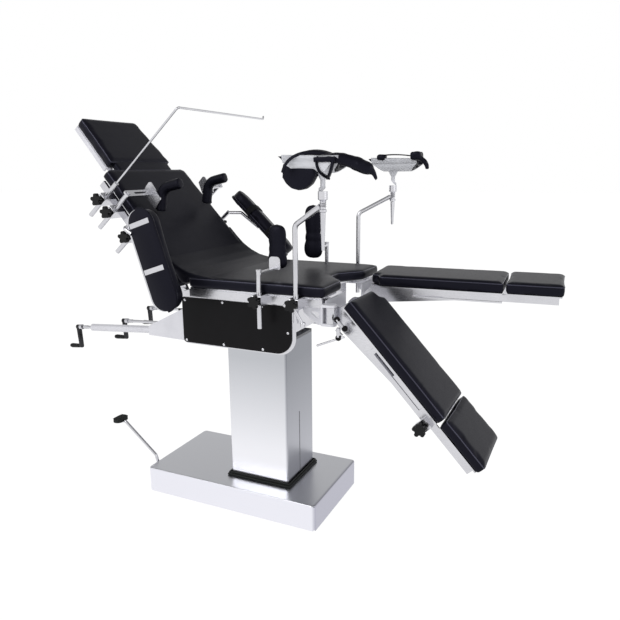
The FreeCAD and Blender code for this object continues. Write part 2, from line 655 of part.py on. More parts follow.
def clamp_box(frame, inward, plate_end, under):
    """The clamp block that holds the sliding rail, with its screw hole."""
    z = f"{under} - slide_height - 10"
    add(frame, "XY", middle(f"{plate_end} - 18", "34", inward("-leg_inset - 3"), "10"), "38", z)
    add(frame, "XY", middle(f"{plate_end} - 18", "34", inward("0"), "8"), "38", z)
    cut(frame, "XZ", rectangle("leg_start + 165", f"{plate_end} - 60", f"{under} - 18", f"{under} - 8"), "4",
        inward("2"))


# Back and head sections

def on_back(item):
    return place(item, "back_x", "0", "back_z", "Y", "back_angle")


HEAD_X = "back_x - head_along * cos(back_angle) + head_up * sin(back_angle)"
HEAD_Z = "back_z + head_along * sin(back_angle) + head_up * cos(back_angle)"


def on_head(item):
    return place(item, HEAD_X, "0", HEAD_Z, "Y", "head_angle")


def back_half(along):
    """Half the width of the back section at a distance from its hinge."""
    return (f"(back_low_half - (back_low_half - back_high_half) * (({along}) - back_step)"
            " / (back_end - back_step))")


def make_back():
    under = "seat_top - pad_thick - back_z"
    top = "seat_top - back_z"
    pad = prism("back_pad", "XY", [
        ("-back_start", "-seat_half + 2"), ("-back_start", "seat_half - 2"), ("-back_step", "back_low_half"),
        ("-back_end", "back_high_half", "13"), ("-back_end", "-back_high_half", "13"),
        ("-back_step", "-back_low_half")], "pad_thick - pad_clear",
        f"{top} - (pad_thick - pad_clear) / 2")
    soften(pad, "8", top, top)
    node("back_pad", on_back(pad))

    frame = prism("back_board", "XY", [
        ("-24", "-bar_outer"), ("-24", "bar_outer"), ("-back_step", "bar_outer - 4"),
        ("-back_end + 8", "back_high_half - 24", "16"), ("-back_end + 8", "-back_high_half + 24", "16"),
        ("-back_step", "-bar_outer + 4")], "4", f"{under} - 2")
    for s in (-1, 1):
        add(frame, "XY", [("-18", f"{s} * 189"), ("-18", f"{s} * 177"), ("-back_end + 12", f"{s} * 165"),
                          ("-back_end + 12", f"{s} * 177")], "bar_height", BACK_MID)
        add(frame, "XZ", [("14", "-13", "12"), ("14", "13", "12"), ("-20", f"{under} - 3"),
                          ("-60", f"{under} - 3"), ("-60", "-2")], "12", f"{s} * 184.5")
        add(frame, "XZ", [("-back_end + 40", f"{under} - 3"), ("-back_end - 5", f"{under} - 3"),
                          ("-head_along + 2", "head_up + 10", "6"),
                          ("-head_along - 10", "head_up + 10", "8"), ("-head_along - 10", "head_up - 10", "8"),
                          ("-back_end + 40", f"{under} - 3 - bar_height")], "10", f"{s} * 128")
    for x in ("-70", "-back_end / 2", "-back_end + 22"):
        add(frame, "XY", middle(x, "16", "0", "2 * 174"), "bar_height - 4", f"{under} - 2 - bar_height / 2")
    cut(frame, "XZ", ("0", "0", "hinge_pin + turn_gap"), "600")
    for s in (-1, 1):
        add(frame, "XZ", ("-head_along", "head_up", "hinge_pin - 2"), "24", f"{s} * 136")
        for x in ("back_step", "arm_along + 54", "screen_along + 40"):
            outer = f"{back_half(x)} - 4 - rail_thick"
            inner = "160"
            add(frame, "XY", rectangle(f"-({x}) - 9", f"-({x}) + 9", f"{s} * ({inner})", f"{s} * ({outer} + 1)"),
                "10", BACK_MID)

    rails = []
    for s in (-1, 1):
        low, high = "back_step - 60", "back_end - 20"
        rail = prism("back_rail", "XY", [
            (f"-({low})", f"{s} * ({back_half(low)} - 4)"), (f"-({low})", f"{s} * ({back_half(low)} - 4 - rail_thick)"),
            (f"-({high})", f"{s} * ({back_half(high)} - 4 - rail_thick)"),
            (f"-({high})", f"{s} * ({back_half(high)} - 4)")], "rail_height", BACK_MID)
        rails.append(on_back(rail))
    node("back_frame", on_back(frame), *rails)


def make_head():
    lift = "seat_top - back_z - head_up"
    under = f"{lift} - pad_thick"
    pad = prism("head_pad", "XY", [
        ("-head_start", "-head_low_half"), ("-head_start", "head_low_half"),
        ("-head_end", "head_high_half", "14"), ("-head_end", "-head_high_half", "14")],
        "pad_thick - pad_clear", f"{lift} - (pad_thick - pad_clear) / 2")
    soften(pad, "8", lift, lift)
    node("head_pad", on_head(pad))

    frame = prism("head_frame", "XY", [
        ("-head_start - 4", "-head_low_half + 6"), ("-head_start - 4", "head_low_half - 6"),
        ("-head_end + 6", "head_high_half - 6"), ("-head_end + 6", "-head_high_half + 6")],
        "4", f"{under} - 2")
    for s in (-1, 1):
        add(frame, "XY", [("-head_start - 6", f"{s} * (head_low_half - 2)"), ("-head_start - 6", f"{s} * (head_low_half - 10)"),
                          ("-head_end + 8", f"{s} * (head_high_half - 10)"), ("-head_end + 8", f"{s} * (head_high_half - 2)")],
            "16", f"{under} - 11")
        add(frame, "XZ", [("10", "-10", "8"), ("10", "10", "8"), ("-6", "10"), ("-head_start + 4", f"{under} - 2"),
                          ("-head_start - 60", f"{under} - 3"), ("-head_start - 40", f"{under} - 20")],
            "10", f"{s} * 139.5")
    cut(frame, "XZ", ("0", "0", "hinge_pin - 2 + turn_gap"), "600")
    node("head_frame", on_head(frame))


# Clamps, knobs and accessories

def star_knob(name):
    """A five-lobed knob with its screw, along its own Z."""
    knob = prism(name, "XY", ("0", "0", "knob_radius - 7"), "14", "17")
    lobe = new_sketch(knob, "XY", "17")
    circle(lobe, "knob_radius - 6.5", "0", "6.5")
    pad = knob.newObject("PartDesign::Pad", "Lobe")
    pad.Profile = lobe
    pad.SideType = "Symmetric"
    pad.Length = 14
    doc.recompute()
    ring = knob.newObject("PartDesign::PolarPattern", "Lobes")
    ring.Originals = [pad]
    axis = next(item for item in knob.Origin.OriginFeatures if item.Role == "Z_Axis")
    ring.Axis = (axis, [""])
    ring.Angle = 360
    ring.Occurrences = 5
    knob.Tip = ring
    doc.recompute()
    add(knob, "XY", ("0", "0", "4"), "12", "6")
    return knob


def rail_clamp(x, side, face, z):
    """A block hooked over a rail, bored for an upright post."""
    s = SIDES[side]
    block = prism("rail_clamp", "YZ", [
        (f"{s} * ({face} - 5)", f"{z} - rail_height / 2 - 4.4"),
        (f"{s} * (post_y + 17)", f"{z} - rail_height / 2 - 4.4", "5"),
        (f"{s} * (post_y + 17)", f"{z} + rail_height / 2 + 4.4", "5"),
        (f"{s} * ({face} - 5)", f"{z} + rail_height / 2 + 4.4"),
        (f"{s} * ({face} - 5)", f"{z} + rail_height / 2"), (f"{s} * ({face})", f"{z} + rail_height / 2"),
        (f"{s} * ({face})", f"{z} - rail_height / 2"), (f"{s} * ({face} - 5)", f"{z} - rail_height / 2")],
        "clamp_length", x)
    cut(block, "XY", (x, f"{s} * post_y", "post_radius + clamp_gap"), "200", z)
    return block


def clamp_knob(x, side, z):
    """The star knob at the outer face of a clamp."""
    s = SIDES[side]
    knob = star_knob("star_knob")
    holder = doc.addObject("Part::Compound", "star_knob_placed")
    knob.Placement = Placement(point(x, f"{s} * (post_y + 17)", z), Rotation(AXES["X"], -90 * s))
    holder.Links = [knob]
    return holder


def make_clamps():
    spots = [("screen_along", "near"), ("shoulder_along", "near"), ("arm_along", "near"),
             ("shoulder_along", "far"), ("arm_along", "far")]
    blocks, knobs = [], []
    for along, side in spots:
        blocks.append(on_back(rail_clamp(f"-{along}", side, f"({back_half(along)} - 3)", BACK_MID)))
        knobs.append(on_back(clamp_knob(f"-{along}", side, BACK_MID)))
    node("back_clamps", *blocks)
    node("back_clamp_knobs", *knobs)
    blocks, knobs = [], []
    for x in ("support_x", "crutch_x"):
        for side in SIDES:
            blocks.append(rail_clamp(x, side, "rail_outer", SEAT_MID))
            knobs.append(clamp_knob(x, side, SEAT_MID))
    node("seat_clamps", *blocks)
    node("seat_clamp_knobs", *knobs)


def make_screen():
    """Drape screen: a post square to the back with a bar across the patient."""
    low = bar("screen_post", ("-screen_along", "-post_y", f"{BACK_MID} - 84"), "165", "post_radius", "Z")
    rod = bent_rod("screen_rod", [("-screen_along", "-post_y", f"{BACK_MID} + 60"),
                                  ("-screen_along", "-post_y", "screen_height"),
                                  ("-screen_along", "-post_y + screen_span", "screen_height"),
                                  ("-screen_along - 14", "-post_y + screen_span + 18", "screen_height")],
                   3.5, 9)
    node("screen_frame", on_back(joined("screen_frame", low, rod)))


def make_shoulder(side):
    """Shoulder rest: post, arm across the back and a bent padded plate."""
    s = SIDES[side]
    level = f"{BACK_MID} + " + {"near": "92", "far": "114"}[side]
    post = bar("shoulder_post", ("-shoulder_along", f"{s} * post_y", f"{BACK_MID} - 84"),
               f"{level} - ({BACK_MID}) + 92", "post_radius", "Z")
    arm = prism("shoulder_arm", "XY", rectangle("-shoulder_along - 12", "-shoulder_along + 12",
                                                f"{s} * (post_y + 12)", f"{s} * 148", "6"), "6", level)
    cut(arm, "XY", rectangle("-shoulder_along - 3.5", "-shoulder_along + 3.5", f"{s} * 170", f"{s} * 232", "3"),
        "20", level)
    plate = prism("shoulder_plate", "XZ", [
        ("-shoulder_along + 16", f"{level} - 22"), ("-shoulder_along + 56", f"{level} - 22"),
        ("-shoulder_along + 46", f"{level} + 22", "10"), ("-shoulder_along - 28", f"{level} + 30", "8"),
        ("-shoulder_along - 24", f"{level} - 6", "4")], "5", f"{s} * 149.8")
    node(f"shoulder_bracket_{side}", on_back(joined("shoulder_bracket", post, arm, plate)))

    pad = bent_rod("shoulder_pad", [("-282", f"{s} * 128", f"{level} - 22"),
                                    ("-334", f"{s} * 128", f"{level} + 40"),
                                    ("-296", f"{s} * 128", f"{level} + 110")], 19, 40)
    node(f"shoulder_pad_{side}", on_back(pad))


BOARD_FRAMES = {"near": ("-95", "-342", "82", 22.9, -90), "far": ("-133", "338", "124", -5.3, -18)}
BOARD_LINKS = {"near": [("-arm_along", "-post_y", "70"), ("-arm_along + 6", "-350", "72"),
                        ("-203", "-350", "84")],
               "far": [("-arm_along", "post_y", "80"), ("-215", "300", "108"), ("-130", "338", "112.5")]}


def on_board(side, item):
    """Moves a solid from the arm board's own frame to its place beside the back."""
    x, y, z, pitch, roll = BOARD_FRAMES[side]
    turn = Rotation(AXES["Y"], pitch) * Rotation(AXES["X"], roll)
    inner = Placement(point(x, y, z), turn)
    outer = Placement(point("back_x", "0", "back_z"), Rotation(AXES["Y"], number("back_angle")))
    item.Placement = outer.multiply(inner)
    return item


def make_arm_board(side):
    """Arm board: oval tray with two cross bars, a pad, and its post."""
    s = SIDES[side]
    tray = prism("arm_tray", "XY", middle("0", "board_length", "0", "board_width", "board_width / 2 - 1"),
                 "5", "-2.5")
    for x in ("-board_length / 2 + 45", "30"):
        add(tray, "XY", middle(x, "16", "0", "board_width - 24"), "4", "-7")
    tray = on_board(side, tray)
    post = bar("arm_post", ("-arm_along", f"{s} * post_y", f"{BACK_MID} - 84"), "160",
               "post_radius", "Z")
    link = bent_rod("arm_link", BOARD_LINKS[side], 7, 12)
    node(f"arm_tray_{side}", joined("arm_tray_whole", tray, on_back(joined("arm_mount", post, link))))

    pad = prism("arm_pad", "XY", middle("0", "board_length", "0", "board_width", "board_width / 2 - 1"),
                "board_pad", "board_pad / 2")
    soften(pad, "10", "board_pad", "board_pad")
    node(f"arm_pad_{side}", on_board(side, pad))


def make_side_support(side):
    """Body support: upright post in the seat clamp, arm inward and an upright pad."""
    s = SIDES[side]
    raised = "30" if side == "far" else "0"
    post = bar("support_post", ("support_x", f"{s} * post_y", f"{SEAT_MID} - 90"),
               f"support_top + {raised} - ({SEAT_MID}) + 90", "post_radius", "Z")
    cap = bar("support_cap", ("support_x", f"{s} * post_y", f"support_top + {raised}"), "5",
              "post_radius + 1.5", "Z")
    arm = prism("support_arm", "XY", rectangle("support_x - 9", "support_x + 9", f"{s} * (post_y + 4)",
                                               f"{s} * 156", "4"), "6", f"support_top + {raised} - 6")
    plate = prism("support_plate", "XZ", [
        ("support_x - 20", f"support_top + {raised} - 9", "4"), ("support_x + 20", f"support_top + {raised} - 9", "4"),
        ("support_x + 20", f"support_top + {raised} + 32", "12"), ("support_x - 20", f"support_top + {raised} + 32", "12")],
        "4", f"{s} * 156")
    node(f"side_support_{side}", joined("side_support", post, cap, arm, plate))

    tall = "support_top + 134 + 40" if side == "far" else "support_top + 134"
    low = "support_top - 10"
    inner = f"{s} * 122"
    pad = prism("side_pad", "XZ", rectangle("support_x - 36", "support_x + 36", low, tall, "28"),
                "31.7", f"{s} * (122 + 31.7 / 2)")
    soften(pad, "8", inner, inner, "y")
    node(f"side_pad_{side}", pad)


def make_crutch(side):
    """Knee crutch: bent rod from the seat clamp, ball head, swivelling gutter."""
    s = SIDES[side]
    rod = bent_rod("crutch_rod", [("crutch_x", f"{s} * post_y", f"{SEAT_MID} - 60"),
                                  ("crutch_x", f"{s} * post_y", "crutch_bend"),
                                  ("crutch_end_x", f"{s} * crutch_end_y", "crutch_end_z - 14")],
                   number("post_radius"), 22)
    lever = {"near": "-105", "far": "-83"}[side]
    head = turned("crutch_head", [
        ("0", lever), ("4.5", lever), ("8", "-8"), ("8", "0"), ("11", "2"), ("11", "8"), ("8", "10"),
        ("8", "14"), ("10", "17"), ("8", "20"), ("10", "23"), ("8", "26"), ("10", "29"), ("8", "32"),
        ("14", "36"), ("14", "58"), ("0", "58")])
    place(head, "crutch_end_x + 8", f"{s} * (crutch_end_y + 3)", "crutch_end_z - 32")
    node(f"crutch_rod_{side}", joined("crutch_arm", rod, head))

    centre_y = f"{s} * (crutch_end_y + 3)"
    post_low = "crutch_end_z + 26.5"
    axis_z = "crutch_end_z + 75 + gutter_radius"
    middle_x = "crutch_end_x " + {"near": "- 7", "far": "+ 25"}[side]
    stem = turned("crutch_stem", [("0", "0"), ("12", "0"), ("12", "8"), ("7", "12"), ("7", "30"),
                                  ("18", "50.5"), ("0", "50.5")])
    place(stem, "crutch_end_x + 8", centre_y, post_low)
    shell = prism("gutter", "YZ", (centre_y, axis_z, "gutter_radius"), "gutter_length", middle_x)
    cut(shell, "YZ", (centre_y, axis_z, "gutter_radius - gutter_wall"), "2 * gutter_length", middle_x)
    cut(shell, "XZ", [(f"{middle_x} - gutter_length", f"{axis_z} - 8"),
                      (f"{middle_x} - gutter_length", f"{axis_z} + 100"),
                      (f"{middle_x} + gutter_length", f"{axis_z} + 100"),
                      (f"{middle_x} + gutter_length", f"{axis_z} - 14")], "400", centre_y)
    for end in (-1, 1):
        tip = f"{middle_x} + {end} * (gutter_length / 2"
        low = f"{axis_z} - gutter_radius - 1"
        cut(shell, "XZ", [(f"{tip} + 1)", low), (f"{tip} - 34)", low), (f"{tip} + 1)", f"{low} + 30")],
            "400", centre_y)
    node(f"crutch_shell_{side}", joined("crutch_shell", stem, shell))

    pad = prism("crutch_pad", "YZ", (centre_y, axis_z, "gutter_radius - gutter_wall - 0.3"),
                "gutter_length + 24", f"{middle_x} - 8")
    cut(pad, "YZ", (centre_y, axis_z, "gutter_radius - gutter_wall - 12"), "2 * gutter_length", middle_x)
    cut(pad, "XZ", [(f"{middle_x} - gutter_length", f"{axis_z} - 10"),
                    (f"{middle_x} - gutter_length", f"{axis_z} + 100"),
                    (f"{middle_x} + gutter_length", f"{axis_z} + 100"),
                    (f"{middle_x} + gutter_length", f"{axis_z} - 18")], "400", centre_y)
    node(f"crutch_pad_{side}", pad)


# Crank drives at the head end

def make_housing():
    """Tapered drive housing with the long control tube."""
    housing = new_body("housing_box")
    profiles = []
    for x, half, low, high in (("housing_x", "24", "crank_long_z + 12", "crank_long_z + 46"),
                               ("panel_head + 3", "44", "panel_low - 20", "panel_high - 34")):
        sketch = new_sketch(housing, "YZ", x)
        polygon(sketch, rectangle(f"-crank_y - {half}", f"-crank_y + {half}", low, high))
        profiles.append(sketch)
    loft = housing.newObject("PartDesign::AdditiveLoft", "Taper")
    loft.Profile = profiles[0]
    loft.Sections = profiles[1:]
    loft.Ruled = True
    doc.recompute()
    start_x, start_z = "crank_long_x + 74", "crank_long_z + 74 * tan(crank_rise)"
    length = number(f"(housing_x - 1.3 - ({start_x})) / cos(crank_rise)")
    tube = doc.addObject("Part::Feature", "crank_tube")
    outer = Part.makeCylinder(number("tube_radius"), length)
    tube.Shape = outer.cut(Part.makeCylinder(number("tube_radius - 3"), length))
    place(tube, start_x, "-crank_y", start_z, "Y", "90 - crank_rise")
    node("crank_housing", housing, tube)


CRANKS = {"back": ("crank_long_x", "-crank_y", "crank_long_z", 79, 52, "housing_x - 0.5", "crank_rise"),
          "tilt": ("crank_mid_x", "0", "crank_mid_z", 69, 52, "panel_head + 2.6", "3"),
          "trend": ("crank_short_x", "crank_y", "crank_short_z", 61, 38, "panel_head + 2.6", "3")}


def make_crank(name):
    """A crank with its shaft, arm and grip pin, and the grip that turns on the pin."""
    x, y, z, arm, grip, shaft_end, rise = CRANKS[name]
    rod = bar("crank_shaft", ("0", "0", "0"), f"({shaft_end} - {x}) / cos({rise})", "5", "X")
    lever = prism("crank_lever", "YZ", [("-8", f"-{arm} - 7", "6"), ("8", f"-{arm} - 7", "6"),
                                        ("9.5", "8", "8"), ("-9.5", "8", "8")], "9", "-1")
    hub = bar("crank_hub", ("-9", "0", "0"), "20", "9", "X")
    pin = bar("crank_pin", (f"-{grip} - 7.5", "0", f"-{arm}"), f"{grip} + 5", "3", "X")
    node(f"crank_{name}", place(joined("crank_handle", rod, lever, hub, pin), x, y, z, "Y", f"-({rise})"))

    grip_profile = [("3.06", "0"), ("grip_radius - 2", "0"), ("grip_radius", "8"),
                    ("grip_radius - 1", f"{grip} - 8"), ("grip_radius - 3", f"{grip} - 0.5"),
                    ("3.06", f"{grip} - 0.5")]
    handle = turned("crank_grip", grip_profile)
    place(handle, f"{x} + (-{grip} - 5.5) * cos({rise}) + {arm} * sin({rise})", y,
          f"{z} + (-{grip} - 5.5) * sin({rise}) - {arm} * cos({rise})", "Y", f"90 - ({rise})")
    node(f"grip_{name}", handle)


def build():
    make_base()
    make_column()
    make_pedal()
    make_lift()
    make_cradle()
    make_seat()
    make_panels()
    make_leg_brackets()
    make_housing()
    for name in CRANKS:
        make_crank(name)
    make_back()
    make_head()
    make_clamps()
    make_screen()
    for side in SIDES:
        make_shoulder(side)
        make_arm_board(side)
        make_side_support(side)
        make_crutch(side)
        make_leg(side)
    doc.recompute()


def check_and_write():
    broken = [item.Label for item in doc.Objects if {"Invalid", "Error"} & set(item.State)]
    for item in NODES:
        if item.Shape.isNull() or not item.Shape.isValid() or not item.Shape.Solids:
            broken.append(item.Label)
    if broken:
        raise RuntimeError("failed: " + ", ".join(broken))
    os.makedirs("parts", exist_ok=True)
    for item in NODES:
        item.Shape.exportStep(f"parts/{item.Label}.step")
        print(item.Label, len(item.Shape.Solids), round(item.Shape.Volume))


build()
check_and_write()
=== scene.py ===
import bpy
import math
from mathutils import Matrix, Vector
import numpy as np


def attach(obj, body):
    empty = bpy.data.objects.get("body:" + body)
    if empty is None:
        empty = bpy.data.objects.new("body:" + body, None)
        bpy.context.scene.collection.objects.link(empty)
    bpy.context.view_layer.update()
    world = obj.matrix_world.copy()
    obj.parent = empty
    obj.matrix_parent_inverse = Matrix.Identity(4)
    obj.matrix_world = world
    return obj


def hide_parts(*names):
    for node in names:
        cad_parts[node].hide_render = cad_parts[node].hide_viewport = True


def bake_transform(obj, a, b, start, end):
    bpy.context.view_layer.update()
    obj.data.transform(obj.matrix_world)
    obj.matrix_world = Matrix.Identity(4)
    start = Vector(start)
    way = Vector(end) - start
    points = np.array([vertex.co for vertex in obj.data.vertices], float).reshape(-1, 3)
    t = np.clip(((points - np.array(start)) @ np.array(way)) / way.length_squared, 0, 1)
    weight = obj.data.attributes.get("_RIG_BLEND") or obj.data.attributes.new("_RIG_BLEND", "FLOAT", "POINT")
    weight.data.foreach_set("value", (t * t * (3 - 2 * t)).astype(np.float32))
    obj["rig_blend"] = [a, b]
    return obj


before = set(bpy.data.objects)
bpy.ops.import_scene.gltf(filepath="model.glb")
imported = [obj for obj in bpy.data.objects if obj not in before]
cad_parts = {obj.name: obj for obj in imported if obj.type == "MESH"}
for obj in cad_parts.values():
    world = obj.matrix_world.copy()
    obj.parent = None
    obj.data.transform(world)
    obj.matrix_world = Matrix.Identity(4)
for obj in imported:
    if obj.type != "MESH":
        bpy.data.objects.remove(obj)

bl_info = {
    "name": "Operating table",
    "version": (1, 0, 0),
    "blender": (4, 5, 0),
    "location": "View3D > Sidebar > Table",
    "description": "Dresses an operating table with upholstery, fittings and finishes",
    "category": "Object",
}

MM = 0.001
NEAR, FAR = "near", "far"
SIGN = {NEAR: -1, FAR: 1}
WELD = 0.00005

# The viewpoint: place in metres, and angles in degrees
CAMERA_SPOT = (1.1425, -1.9011, 1.2043)
CAMERA_AZIMUTH, CAMERA_ELEVATION, CAMERA_ROLL = 25.1856, 12.7600, -0.4361


def turn(axis, degrees):
    """A turn about one axis."""
    return Matrix.Rotation(math.radians(degrees), 4, axis)


def shift(x, y, z):
    """A move given in millimetres."""
    return Matrix.Translation((x * MM, y * MM, z * MM))


# Frames of the sections at rest: the hinge of each is its origin
TABLE = Matrix.Identity(4)
BACK = shift(-140, 0, 800) @ turn("Y", 49)
HEAD = shift(-140, 0, 800) @ turn("Y", 49) @ shift(-507, 0, 24) @ turn("Y", -2)
LEG = {NEAR: shift(432, -244, 780) @ turn("Y", 47.5), FAR: shift(432, 244, 780) @ turn("Z", 3.4)}
BOARD = {NEAR: BACK @ shift(-95, -342, 82) @ turn("Y", 22.9) @ turn("X", -90),
         FAR: BACK @ shift(-133, 338, 124) @ turn("Y", -5.3) @ turn("X", -18)}

# Measures of the pieces, in millimetres

# Base cover: middle of its rounded corners along X and Y, and their radius
BASE_CORNER, BASE_ROUND = (335, 176), 14.15

# Column cover: its faces at the head end and the foot end, and half its width
COLUMN_HEAD, COLUMN_FOOT, COLUMN_HALF = -27, 207, 105

# Section of the corner pad: along X and up
CORNER_OUTLINE = [(66, 860.3), (24, 862.4), (-17, 866), (-52, 871.5), (-85, 879), (-121, 895), (-159, 920),
                  (-190, 950), (-221, 984), (-226, 987), (-222, 982), (-160, 905), (-128, 868), (-118, 850),
                  (-104, 838), (-84, 840), (-78, 854), (-60, 858), (50, 858)]

# Profiles of the body support pads: radius and height
BOLSTERS = {
    NEAR: [(0, 891), (24, 893), (33, 903), (35, 918), (32, 934), (29, 943), (31, 950), (30, 962), (28, 969),
           (31, 976), (32, 998), (31, 1014), (24, 1028), (0, 1034)],
    FAR: [(0, 889), (24, 892), (35, 906), (37, 928), (33, 945), (29, 952), (32, 958), (31, 973), (27, 981),
          (30, 989), (31, 1012), (33, 1038), (32, 1058), (23, 1075), (0, 1081)],
}

# Screws of the side panels: along X and up
SCREW_SPOTS = [(-119, 636), (31, 779), (31, 635), (180, 636), (-119, 776), (180, 779), (272, 700)]
SCREW_PROFILE = [(0, -0.5), (4.4, -0.5), (4.4, 0.8), (3.2, 1.8), (1.4, 2.2), (1.2, 1.2), (0, 1.2)]

# Gutters of the knee crutches: middle along X, and how far the head end reaches at the top
GUTTERS = {NEAR: (423, 59), FAR: (455, 80)}
GUTTER_FLOOR, GUTTER_RIM = 1194, 1240

# Hanging lobe of the near gutter: along X and up
LOBE_OUTLINE = [(331, 1218), (329, 1183), (340, 1166), (356, 1153), (378, 1148), (398, 1152), (416, 1165),
                (431, 1190), (428, 1212), (404, 1226), (377, 1231), (350, 1228)]

# Round ends of the arm boards: middle and half width
BOARD_END, BOARD_HALF = 118, 49

# Upright planes, along Y, in which the foot end lock and the crutch lever lie
LOCK_PLANE, LEVER_PLANE = -262, -292

# Crank shafts: place, rise in degrees, and start and end of the bright sleeve along the shaft
CRANK_SHAFTS = {"back": (-732, -100, 593, 4.1, 26, 70), "tilt": (-584, 0, 610, 3, 20, 180),
                "trend": (-535, 100, 646, 3, 16, 150)}

# Filled cloth: settings, and how many frames it swells for
CLOTH = {"quality": 4, "mass": 0.4, "tension_stiffness": 22, "compression_stiffness": 22,
         "shear_stiffness": 8, "bending_stiffness": 3, "use_pressure": True}
CLOTH_FRAMES = 14


# Working by hand: selection and edit mode

def fresh():
    """Leaves every object deselected, in object mode."""
    if bpy.context.object and bpy.context.object.mode != "OBJECT":
        bpy.ops.object.mode_set(mode="OBJECT")
    bpy.ops.object.select_all(action="DESELECT")


def pick(*objects):
    """Selects these objects and makes the first one active."""
    fresh()
    for item in objects:
        item.select_set(True)
    bpy.context.view_layer.objects.active = objects[0]


def apply_modifier(item, kind, **settings):
    """Adds one modifier and applies it."""
    pick(item)
    modifier = item.modifiers.new(kind.title(), kind)
    for name, value in settings.items():
        setattr(modifier, name, value)
    bpy.ops.object.modifier_apply(modifier=modifier.name)


def settle(item, place):
    """Bakes the piece's place into its mesh."""
    item.matrix_world = place @ item.matrix_world
    pick(item)
    bpy.ops.object.transform_apply(location=True, rotation=True, scale=True)
    return item


def outward(item):
    """Merges doubles and turns every face outwards."""
    pick(item)
    bpy.ops.object.mode_set(mode="EDIT")
    bpy.ops.mesh.select_all(action="SELECT")
    bpy.ops.mesh.remove_doubles(threshold=WELD)
    bpy.ops.mesh.normals_make_consistent(inside=False)
    bpy.ops.object.mode_set(mode="OBJECT")
    return item


def smooth(item, degrees=35):
    """Shades smooth, but keeps edges sharper than the angle."""
    pick(item)
    bpy.ops.object.shade_smooth_by_angle(angle=math.radians(degrees))
    return item


def add_piece(item, name, body, finish):
    """Names a finished piece, gives it its finish and lets it ride on its body."""
    item.name = name
    item.data.name = name
    item.data.materials.clear()
    item.data.materials.append(bpy.data.materials[finish])
    if body:
        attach(item, body)
    return item


def slab(size, centre, place=TABLE, round_off=1.0, segments=2):
    """A box with rounded edges, in millimetres."""
    fresh()
    bpy.ops.mesh.primitive_cube_add(size=1)
    item = bpy.context.object
    item.scale = [length * MM for length in size]
    bpy.ops.object.transform_apply(location=False, rotation=False, scale=True)
    if round_off:
        apply_modifier(item, "BEVEL", width=round_off * MM, segments=segments, limit_method="NONE")
    return settle(item, place @ shift(*centre))


def plate(outline, thickness, place=TABLE, round_off=0.6):
    """A flat plate from outline points in its own XY plane, thickened about z = 0."""
    fresh()
    bpy.ops.mesh.primitive_circle_add(vertices=len(outline), radius=1, fill_type="NGON")
    item = bpy.context.object
    for vertex, point in zip(item.data.vertices, outline):
        vertex.co = (point[0] * MM, point[1] * MM, 0)
    apply_modifier(item, "SOLIDIFY", thickness=thickness * MM, offset=0)
    if round_off:
        apply_modifier(item, "BEVEL", width=round_off * MM, segments=2, limit_method="ANGLE")
    outward(item)
    return settle(item, place)


def turned(profile, place=TABLE, steps=40):
    """A solid spun about its own Z from (radius, height) points."""
    fresh()
    bpy.ops.mesh.primitive_plane_add(size=1)
    item = bpy.context.object
    bpy.ops.object.mode_set(mode="EDIT")
    bpy.ops.mesh.select_all(action="SELECT")
    bpy.ops.mesh.delete(type="VERT")
    bpy.ops.object.mode_set(mode="OBJECT")
    count = len(profile)
    item.data.from_pydata([(r * MM, 0, z * MM) for r, z in profile],
                          [(i, i + 1) for i in range(count - 1)], [])
    bpy.ops.object.mode_set(mode="EDIT")
    bpy.ops.mesh.select_all(action="SELECT")
    bpy.ops.mesh.spin(steps=steps, angle=math.tau, center=(0, 0, 0), axis=(0, 0, 1))
    bpy.ops.object.mode_set(mode="OBJECT")
    outward(item)
    return settle(item, place)


def rod(points, radius, place=TABLE, sides=8, order=3, radii=None, flat=None, tilt=None):
    """A round bar or strap along points in millimetres, as a smooth curve made a mesh."""
    curve = bpy.data.curves.new("rod", "CURVE")
    curve.dimensions = "3D"
    curve.bevel_depth = radius * MM
    curve.bevel_resolution = sides
    curve.use_fill_caps = True
    if flat:
        curve.bevel_mode = "OBJECT"
        curve.bevel_object = flat_section(*flat)
    spline = curve.splines.new("NURBS" if order > 2 else "POLY")
    spline.points.add(len(points) - 1)
    for index, (spot, point) in enumerate(zip(spline.points, points)):
        spot.co = (point[0] * MM, point[1] * MM, point[2] * MM, 1)
        spot.radius = radii[index] if radii else 1
        spot.tilt = math.radians(tilt[index]) if tilt else 0
    if order > 2:
        spline.order_u = order
        spline.use_endpoint_u = True
        spline.resolution_u = 8
    item = bpy.data.objects.new("rod", curve)
    bpy.context.scene.collection.objects.link(item)
    pick(item)
    bpy.ops.object.convert(target="MESH")
    item = bpy.context.object
    if flat:
        bpy.data.objects.remove(bpy.data.objects["strap_section"])
    outward(item)
    return settle(item, place)


def flat_section(width, thickness):
    """The rounded cross-section of a strap."""
    curve = bpy.data.curves.new("strap_section", "CURVE")
    spline = curve.splines.new("POLY")
    half, edge = width / 2 * MM, thickness / 2 * MM
    corners = [(-half, 0), (-half + edge, -edge), (half - edge, -edge), (half, 0),
               (half - edge, edge), (-half + edge, edge)]
    spline.points.add(len(corners) - 1)
    for spot, corner in zip(spline.points, corners):
        spot.co = (corner[0], corner[1], 0, 1)
    spline.use_cyclic_u = True
    item = bpy.data.objects.new("strap_section", curve)
    bpy.context.scene.collection.objects.link(item)
    return item


def join(*objects):
    """Joins objects into the first one."""
    pick(*objects)
    bpy.ops.object.join()
    return bpy.context.object


# Finishes

def hex_to_linear(text):
    """An sRGB hex colour as linear RGBA."""
    parts = [int(text[i:i + 2], 16) / 255 for i in (1, 3, 5)]
    return [p / 12.92 if p <= 0.04045 else ((p + 0.055) / 1.055) ** 2.4 for p in parts] + [1]


